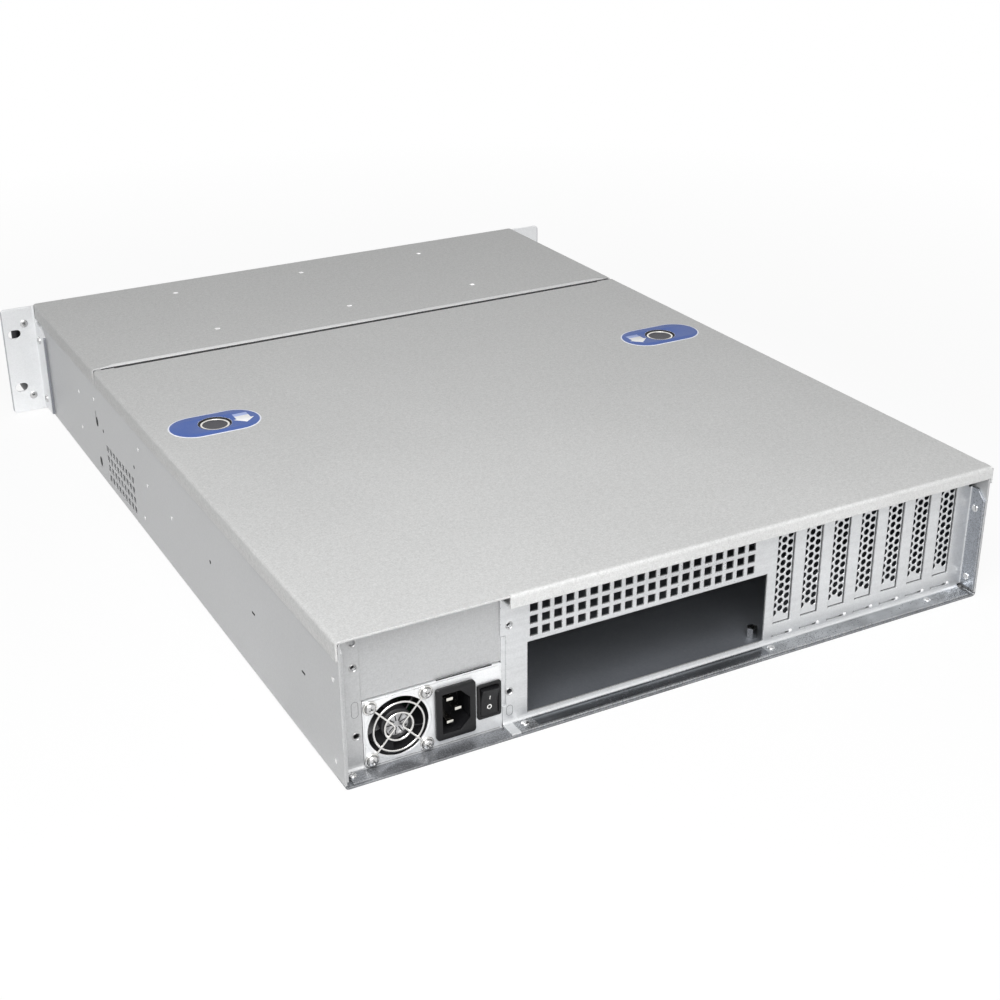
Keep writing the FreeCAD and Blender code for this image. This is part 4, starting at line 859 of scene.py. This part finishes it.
# Bow handles with a collar at each foot
def make_handle(side, name):
    x = side * handle_x
    low, high = handle_ends
    path = [(x, front_y, low), (x, handle_reach, low), (x, handle_reach, high), (x, front_y, high)]
    parts = [rods([path], handle_rod, 9.0, "handle_metal", 24)]
    collar = [(0, 0)] + arc(4.9, 0.4, 0.5, -90, 90) + [(0, 0.9)]
    parts += [turned(collar, (x, front_y, z), -Y) for z in handle_ends]
    assemble("bow_handle_" + name, parts, "case", "handle_metal", "handle_" + name, sharp=50.0)


for side, name in both_sides:
    make_handle(side, name)


# Release labels: pale base, blue field and a two-toned arrow that points to the rear
arrow_in = 19.5
arrow_aside = 0.8


def make_release_label(side, name):
    x = side * finger_x
    base = [obround_outline(x, finger_y, label_straight, label_radius), circle(x, finger_y, label_hole, 48)]
    field = [obround_outline(x, finger_y, label_straight, label_radius - label_rim),
             circle(x, finger_y, label_hole + 0.12, 48)]
    ax = x - side * arrow_in
    ay = finger_y + arrow_aside
    shaft, wing, length, head, stripe = 4.9, 7.2, 5.0, 6.6, 4.4
    arrow = [(ax - shaft, ay - length), (ax + shaft, ay - length), (ax + shaft, ay), (ax + wing, ay),
             (ax, ay + head), (ax - wing, ay), (ax - shaft, ay)]
    tail = rectangle(ax - shaft, ay - length - stripe, ax + shaft, ay - length)
    layers = ((base, 0.11, 0.03, 0.0, "label_border"), (field, 0.03, 0.01, 0.105, "label_blue"),
              ([arrow], 0.018, 0.004, 0.132, "arrow"), ([tail], 0.018, 0.004, 0.132, "arrow_tail"))
    parts = [in_look(plate(outlines, thick, edge, (0, 0, lid_top + lift)), look)
             for outlines, thick, edge, lift, look in layers]
    assemble("arrow_label_" + name, parts, "lid", "label_blue", "release_label_" + name)


# Latch cups and pads with their plated rings, and a painted shadow ring inside the finger holes
def make_latch(side, name):
    centre = (side * finger_x, finger_y, 0)
    cup = [(0, 75.8), (13.3, 75.8), (13.3, 86.8), (12.1, 86.8), (12.1, 77.0), (0, 77.0)]
    assemble("latch_cup_turned_" + name, [turned(cup, centre, Z, 48)], "lid", "cup_steel",
             "latch_cup_" + name)
    pad = [(0, 80.3), (11.8, 80.3), (11.8, 86.5), (9.3, 86.5), (9.3, 87.1), (8.1, 87.1)]
    pad += [(7.6, 86.95), (5.0, 86.82), (0, 86.78)]
    ring = [(9.6, 86.45), (9.6, 87.2)] + arc(9.3, 87.2, 0.3, 0, 90) + arc(8.5, 87.2, 0.3, 90, 180)
    ring += [(8.2, 86.9), (9.0, 86.6)]
    assemble("latch_pad_" + name,
             [turned(pad, centre, Z, 64), in_look(turned(ring, centre, Z, 64), "latch_ring")],
             "latch_button_" + name, "latch_black", "latch_button_" + name, sharp=50.0)
    # Painted shadow: a near-black ring on the finger hole's inner wall
    painted_shadow_ring = [(10.35, 86.9), (10.35, 88.02), (10.62, 88.1), (11.02, 88.1), (11.02, 88.02), (10.7, 88.0),
              (10.7, 86.9)]
    assemble("finger_hole_painted_shadow_" + name, [in_look(turned(painted_shadow_ring, centre, Z, 56), "gap")], "lid",
             "lid_steel")


for side, name in both_sides:
    make_release_label(side, name)
    make_latch(side, name)


# Fans: a square frame with a round opening, spokes and motor seat, and a bladed rotor
def make_fan_frame(name, centre, size, depth, opening, hub):
    x, y, z = centre
    hole_in = size / 2 - size * 0.056
    flange = size * 0.045
    outlines = [rounded_outline(x, z, size, size, flange), circle(x, z, opening, 56)]
    outlines += [circle(x + a * hole_in, z + b * hole_in, size * 0.027, 14) for a in signs for b in signs]
    barrel = [(opening, -depth + 0.3), (opening + flange * 0.5, -depth + 0.3),
              (opening + flange * 0.5, -0.3), (opening, -0.3)]
    seat = [(0, -depth), (hub, -depth), (hub, -depth + 1.6), (0, -depth + 1.6)]
    meshes = [upright(outlines, flange, 0.25, y - flange), upright(outlines, flange, 0.25, y - depth),
              turned(barrel, centre, Y, 56), turned(seat, centre, Y, 40)]
    spoke = block((hub * 0.9, -depth, -size * 0.022), (opening + 0.4, -depth + 1.6, size * 0.022), 0.3)
    spokes = shifted(run_tree(round_tree, spoke, "fan_plastic", Count=4), centre)
    assemble(name + "_moulding", meshes + [spokes], "case", "fan_plastic", name)


def blade_mesh(hub, tip, height):
    """One cambered blade about the origin's Y axis, thin and swept back towards its tip."""
    steps = 8
    points = []
    faces = []
    for i in range(steps + 1):
        u = i / steps
        radius = hub * 0.94 + (tip - hub * 0.94) * u
        for j in range(steps + 1):
            v = j / steps - 0.5
            turn = v * (0.92 - 0.16 * u) + 0.18 * u + 0.05 * math.cos(math.pi * v)
            lift = v * height * (0.92 - 0.1 * u) + 0.05 * height * math.cos(math.pi * v)
            points.append(Vector((radius * math.sin(turn), lift, radius * math.cos(turn))) * MM)
            if i < steps and j < steps:
                a = i * (steps + 1) + j
                faces.append((a, a + 1, a + steps + 2, a + steps + 1))
    item = place_object("blade", closed(new_mesh("blade", points, faces)))
    wall = item.modifiers.new("wall", "SOLIDIFY")
    wall.thickness = tip * 0.035 * MM
    wall.offset = 0.0
    return plain_mesh(item)


def make_fan_rotor(name, centre, depth, opening, hub, foil=False):
    front, rear = -depth + 1.9, -1.0
    profile = [(0, front), (hub, front)] + arc(hub - 0.8, rear - 0.8, 0.8, 0, 90)
    profile += [(hub * 0.8, rear), (hub * 0.78, rear - 0.25), (0, rear - 0.25)]
    blades = run_tree(round_tree, blade_mesh(hub, opening - 0.9, (rear - front) * 0.84), "fan_plastic",
                      Count=5)
    parts = [turned(profile, centre, Y, 48), shifted(blades, Vector(centre) + Y * ((front + rear) / 2))]
    if foil:
        disc = [(0, rear - 0.25), (hub * 0.74, rear - 0.25), (hub * 0.74, rear - 0.15), (0, rear - 0.15)]
        parts.append(in_look(turned(disc, centre, Y, 40), "hub_foil"))
        ray = block((hub * 0.2, -0.04, -0.34), (hub * 0.68, 0.04, 0.34), 0.02, 1)
        rays = run_tree(round_tree, ray, "gap", Count=9)
        parts.append(shifted(rays, Vector(centre) + Y * (rear - 0.13)))
    assemble(name + "_moulding", parts, name, "fan_plastic", name, sharp=40.0)


bay_fan = dict(depth=25.0, opening=38.0, hub=17.0)
supply_fan = dict(depth=20.0, opening=18.2, hub=9.0)
for i in range(4):
    low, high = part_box("fan_frame_%d" % (i + 1))
    centre = tuple((Vector(((low.x + high.x) / 2, high.y, (low.z + high.z) / 2))) / MM)
    make_fan_frame("fan_frame_%d" % (i + 1), centre, size=80.0, **bay_fan)
    make_fan_rotor("fan_rotor_%d" % (i + 1), centre, **bay_fan)
centre = (supply_fan_x, panel_y - 0.9, supply_z)
make_fan_frame("psu_fan_frame", centre, size=38.0, **supply_fan)
make_fan_rotor("psu_fan_rotor", centre, **supply_fan, foil=True)


# Power inlet with its pins
def make_inlet():
    w, h, cut_corner = 8.1, 12.1, 5.6
    recess = [(w, -h), (w, h), (-w + cut_corner, h), (-w, h - cut_corner), (-w, -h + cut_corner),
              (-w + cut_corner, -h)]
    recess = [(inlet_x + a, supply_z + b) for a, b in recess]
    rim = rounded_outline(inlet_x, supply_z, 23.4, 31.6, 1.9)
    shell = rounded_outline(inlet_x, supply_z, 19.6, 27.0, 1.0)
    face = panel_y + 2.6
    meshes = (upright([rim, recess], 2.6, 0.5, panel_y), upright([shell, recess], 13.2, 0.1, face - 15.4),
              upright([shell], 4.0, 0.2, face - 19.3))
    assemble("inlet_moulding", meshes, "case", "inlet_black", "inlet_socket")
    floor_y = face - 15.5
    pins = [block((inlet_x + a - 2.0, floor_y, supply_z + b - 1.0),
                  (inlet_x + a + 2.0, floor_y + 13.0, supply_z + b + 1.0), 0.35)
            for a, b in ((2.7, 7.0), (2.7, -7.0), (-2.2, 0.0))]
    assemble("inlet_blades", pins, "case", "pin_metal", "inlet_pins")


# Rocker switch: its frame, and the paddle with its two printed marks
def make_rocker():
    well = rounded_outline(rocker_x, supply_z, 11.0, 18.0, 0.6)
    flange = rounded_outline(rocker_x, supply_z, 14.4, 21.4, 1.4)
    shell = rounded_outline(rocker_x, supply_z, 12.0, 19.0, 0.6)
    assemble("switch_bezel", [upright([flange, well], 1.6, 0.4, panel_y),
                              upright([shell, well], 14.0, 0.05, panel_y - 14.0)],
             "case", "inlet_black", "switch_frame")
    axis = Vector((rocker_x, panel_y - 2.0, supply_z))
    half_w, half_h = 5.1, 8.3
    top, dip, low = 4.6, 1.15, -5.5
    steps = 12
    lean = math.radians(-8.0)

    def face_y(z):
        return top - dip * math.cos(math.pi / 2 * z / half_h)

    heights = [half_h - 2 * half_h * i / steps for i in range(steps + 1)]
    section = [(face_y(z), z) for z in heights] + [(-1.0, -half_h), (low, 0.0), (-1.0, half_h)]
    section = [(axis.y + y * math.cos(lean) - z * math.sin(lean),
                axis.z + y * math.sin(lean) + z * math.cos(lean)) for y, z in section]
    body = plate([section], 2 * half_w, 0.35, (axis.x - half_w, 0, 0), Y, Z)

    def mark(outlines, z):
        """A thin printed mark that lies on the rocker's curved face at the height."""
        slope = math.atan(dip * math.pi / 2 / half_h * math.sin(math.pi / 2 * z / half_h))
        turn = Matrix.Rotation(lean, 4, "X")
        tilt = Matrix.Rotation(-slope, 4, "X")
        lift = Matrix.Translation(Vector((0, face_y(z), z)) * MM)
        thin = upright(outlines, 0.06, 0.01, 0.0)
        thin.transform(Matrix.Translation(axis * MM) @ turn @ lift @ tilt)
        return in_look(thin, "switch_mark")

    assemble("rocker_paddle", [body, mark([rectangle(-0.28, -1.2, 0.28, 1.2)], 2.6),
                               mark([circle(0, 0, 1.45, 28), circle(0, 0, 0.85, 28)], -3.6)],
             "switch_rocker", "rocker_black", "switch_rocker")


make_inlet()
make_rocker()


# Pressed thread collars in the rear holes and the outlines of the knock-outs
def make_strip_details():
    profile = [(1.78, -1.3)]
    for turn in range(4):
        profile += [(1.78, -1.2 + turn * 0.3), (1.88, -1.05 + turn * 0.3)]
    profile += [(1.9, -0.02)] + arc(2.2, -0.06, 0.24, 150, 20, 4)
    profile += [(2.45, -0.1), (2.45, -0.3), (2.0, -1.3)]
    collars = [in_look(turned(profile, (x, panel_y, z), Y, 32), "thread")
               for x in (strip_hole_x, divider_hole_x) for z in strip_hole_heights]
    assemble("thread_collars", collars, "case", "rear_steel")
    rings = []
    for x, z, straight in ((strip_hole_x + 0.2, 38.4, 5.8), (divider_hole_x, 10.4, 2.6)):
        outlines = [upright_obround(x, z, straight, radius, 12) for radius in (2.0, 1.78)]
        rings.append(in_look(upright(outlines, 0.12, 0.03, panel_y - 0.04), "knock_out"))
    assemble("knock_out_outlines", rings, "case", "rear_steel")


# Smooth rim of the supply's fan opening, and the fold of the sheet beside the supply
def make_supply_details():
    rim = [(17.6, -0.5), (17.6, -0.06)] + arc(17.74, -0.06, 0.14, 180, 90) + [(19.4, 0.08), (19.4, -0.1)]
    centre = (supply_fan_x, panel_y, supply_z)
    assemble("fan_opening_rim", [turned(rim, centre, Y, 72)], "case", "supply_steel")
    fold = block((112.9, 286.6, 4.5), (116.0, 287.9, 57.0), 0.25)
    assemble("divider_fold", [fold], "case", "rear_steel")


# Painted shadow strips beside and under the slot covers and over the supply, and the pressed ends of the
# slits, painted lighter than the sheet as highlights
def make_shadow_gaps():
    half_window = 6.25
    sill, head = 14.7, 78.0
    cover_y = panel_y - sheet
    strips = []
    tips = []
    for x in slot_middles:
        side = x - half_window
        for right, top in ((side + 0.55, head), (side + 2 * half_window, sill + 0.4)):
            strips.append((rectangle(side, sill, right, top), cover_y))
        tips.append(((side - 1.3, panel_y, 6.9), Y))
    strips.append((rectangle(122.0, 41.8, 155.0, 42.6), panel_y))
    # Near-black strips that paint the shadow in the gaps
    assemble("painted_gap_shadows", [in_look(upright([strip], 0.05, 0.01, y), "gap") for strip, y in strips],
             "case", "rear_steel")
    # Pressed slit ends painted lighter than the sheet as highlights
    assemble("pressed_slit_tip_painted_highlights", [fasteners(rivet_tree, tips, "slit_tip_painted_highlight", 1.1, 0.5, 0.3, 0.2)], "case",
             "rear_steel")


# Painted highlight on the rolled edge of the fixed cover along the seam, and a painted shadow strip in the
# groove between it and the lid
def make_seam():
    front, rear = seam_y - 0.9, seam_y - 0.8
    edge = [(-208.0, front), (-208.0, seam_y - 1.6), (-202.0, seam_y - 6.0), (198.0, seam_y - 6.0),
            (209.0, seam_y - 1.5), (209.0, front)]
    groove = [(-211.0, rear), (206.0, rear), (209.0, seam_y + 0.1), (209.0, seam_y + 1.72),
              (-211.0, seam_y + 1.72)]
    for name, outline, thick, soft, drop, look in (
            # A white strip that paints the highlight on the cover's rolled edge
            ("front_cover_edge_painted_highlight", edge, 0.26, 0.1, 0.1, "seam_edge_painted_highlight"),
            # A near-black strip that paints the shadow in the groove
            ("seam_painted_shadow", groove, 0.6, 0.02, 0.56, "gap")):
        strip = plate([outline], thick, soft, (0, 0, lid_top - drop))
        assemble(name, [in_look(strip, look)], "case", "lid_steel")


# Painted shadow discs and slots that stand for the small holes and slots in the side walls
def make_wall_marks():
    parts = []
    for side in signs:
        outlines = [circle(y * side, z, 1.3, 20) for y, z in ((-124.5, 43.7), (-50.4, 44.6), (103.0, 42.4))]
        outlines += [upright_obround(y * side, z, 1.8, 2.7, 10) for y, z in ((-139.6, 45.6), (-140.6, 14.2))]
        outlines += [obround_outline(y * side, z, 3.4, 0.7, 8)
                     for y, z in ((231.9, 76.0), (176.0, 43.0), (250.1, 43.9), (-83.2, 76.0))]
        origin = (side * (wall_x - 0.06), 0, 0)
        # Near-black discs and slots that paint the shade inside the holes
        parts += [in_look(plate([outline], 0.12, 0.02, origin, Y * side, Z), "wall_hole")
                  for outline in outlines]
    assemble("painted_wall_hole_shadows", parts, "case", "tray_steel")


make_strip_details()
make_supply_details()
make_shadow_gaps()
make_seam()
make_wall_marks()


# Front buttons and lamps
def make_front_controls():
    for name, z, radius in (("power_button", 62.0, 5.0), ("reset_button", 44.0, 2.6)):
        flange = radius + 1.2
        profile = [(0, 1.6), (radius * 0.72, 1.65)] + arc(radius - 0.6, 1.4, 0.6, 90, 0)
        profile += [(radius, -1.6), (flange, -1.6), (flange, -2.8), (1.5, -2.8), (1.5, -7.8), (0, -7.8)]
        cap = turned(profile, (control_x, front_y, z), -Y, 40)
        assemble(name + "_cap", [cap], name, "button_plastic", name, sharp=45.0)
    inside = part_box("status_lamps")[1].y / MM - front_y
    lens = [(0, 0.8)] + arc(0.75, 0.05, 0.75, 90, 0) + [(1.5, -inside), (0, -inside)]
    lamps = [turned(lens, (control_x, front_y, z), -Y, 24) for z in (18.0, 26.0, 34.0)]
    assemble("lamp_lenses", lamps, "case", "lamp_plastic", "status_lamps", sharp=45.0)


make_front_controls()


# Pale floor, white background and soft studio light
floor_size = 30.0
floor_drop = 0.0002
floor_share = 0.92
ambient = 0.13


def path_rays(tree):
    """1 for rays from the camera, a mirror or glass, which see the plain white surroundings."""
    path = add(tree, "ShaderNodeLightPath").outputs
    seen = calc(tree, "MAXIMUM", path["Is Camera Ray"], path["Is Glossy Ray"])
    return calc(tree, "MAXIMUM", seen, path["Is Transmission Ray"])


def make_floor():
    half = floor_size / 2
    level = cad_box[0].z - floor_drop
    corners = [(x, y, level) for x, y in rectangle(-half, -half, half, half)]
    mesh = new_mesh("floor", corners, [(0, 1, 2, 3)])
    floor = place_object("floor", mesh)
    material, tree = empty_tree(bpy.data.materials, "pale_floor")
    plain = add(tree, "ShaderNodeBsdfDiffuse", Color=(0.86, 0.86, 0.86, 1)).outputs[0]
    white = add(tree, "ShaderNodeEmission", Color=(1, 1, 1, 1), Strength=1.0).outputs[0]
    away = vector_calc(tree, "LENGTH", add(tree, "ShaderNodeTexCoord").outputs["Object"])
    share = times(tree, path_rays(tree), spread(tree, away, 0.45, 1.1, floor_share, 1.0))
    mixed = add(tree, "ShaderNodeMixShader", Fac=share, i1=plain, i2=white)
    add(tree, "ShaderNodeOutputMaterial", Surface=mixed.outputs[0])
    mesh.materials.append(material)


def make_world():
    bpy.context.scene.world, tree = empty_tree(bpy.data.worlds, "studio")
    strength = spread(tree, path_rays(tree), 0.0, 1.0, ambient, 1.0)
    sky = add(tree, "ShaderNodeBackground", Color=(1, 1, 1, 1), Strength=strength)
    add(tree, "ShaderNodeOutputWorld", Surface=sky.outputs[0])


def make_lamp(name, place, target, size, power):
    data = bpy.data.lights.new(name, "AREA")
    data.shape = "RECTANGLE"
    data.size, data.size_y = size
    data.energy = power
    lamp = place_object(name, data)
    lamp.location = place
    lamp.rotation_mode = "QUATERNION"
    lamp.rotation_quaternion = (Vector(target) - Vector(place)).to_track_quat("-Z", "Y")


make_floor()
make_world()
make_lamp("overhead_softbox", (0.50, 0.82, 0.95), (0.10, 0.15, 0.08), (0.9, 0.7), 15.5)
make_lamp("far_softbox", (-0.65, -1.10, 0.68), (0.0, 0.05, 0.09), (0.3, 0.25), 0.36)
make_lamp("rear_softbox", (0.5, 2.0, 1.1), (0.0, 0.2, 0.05), (1.2, 0.9), 12.0)
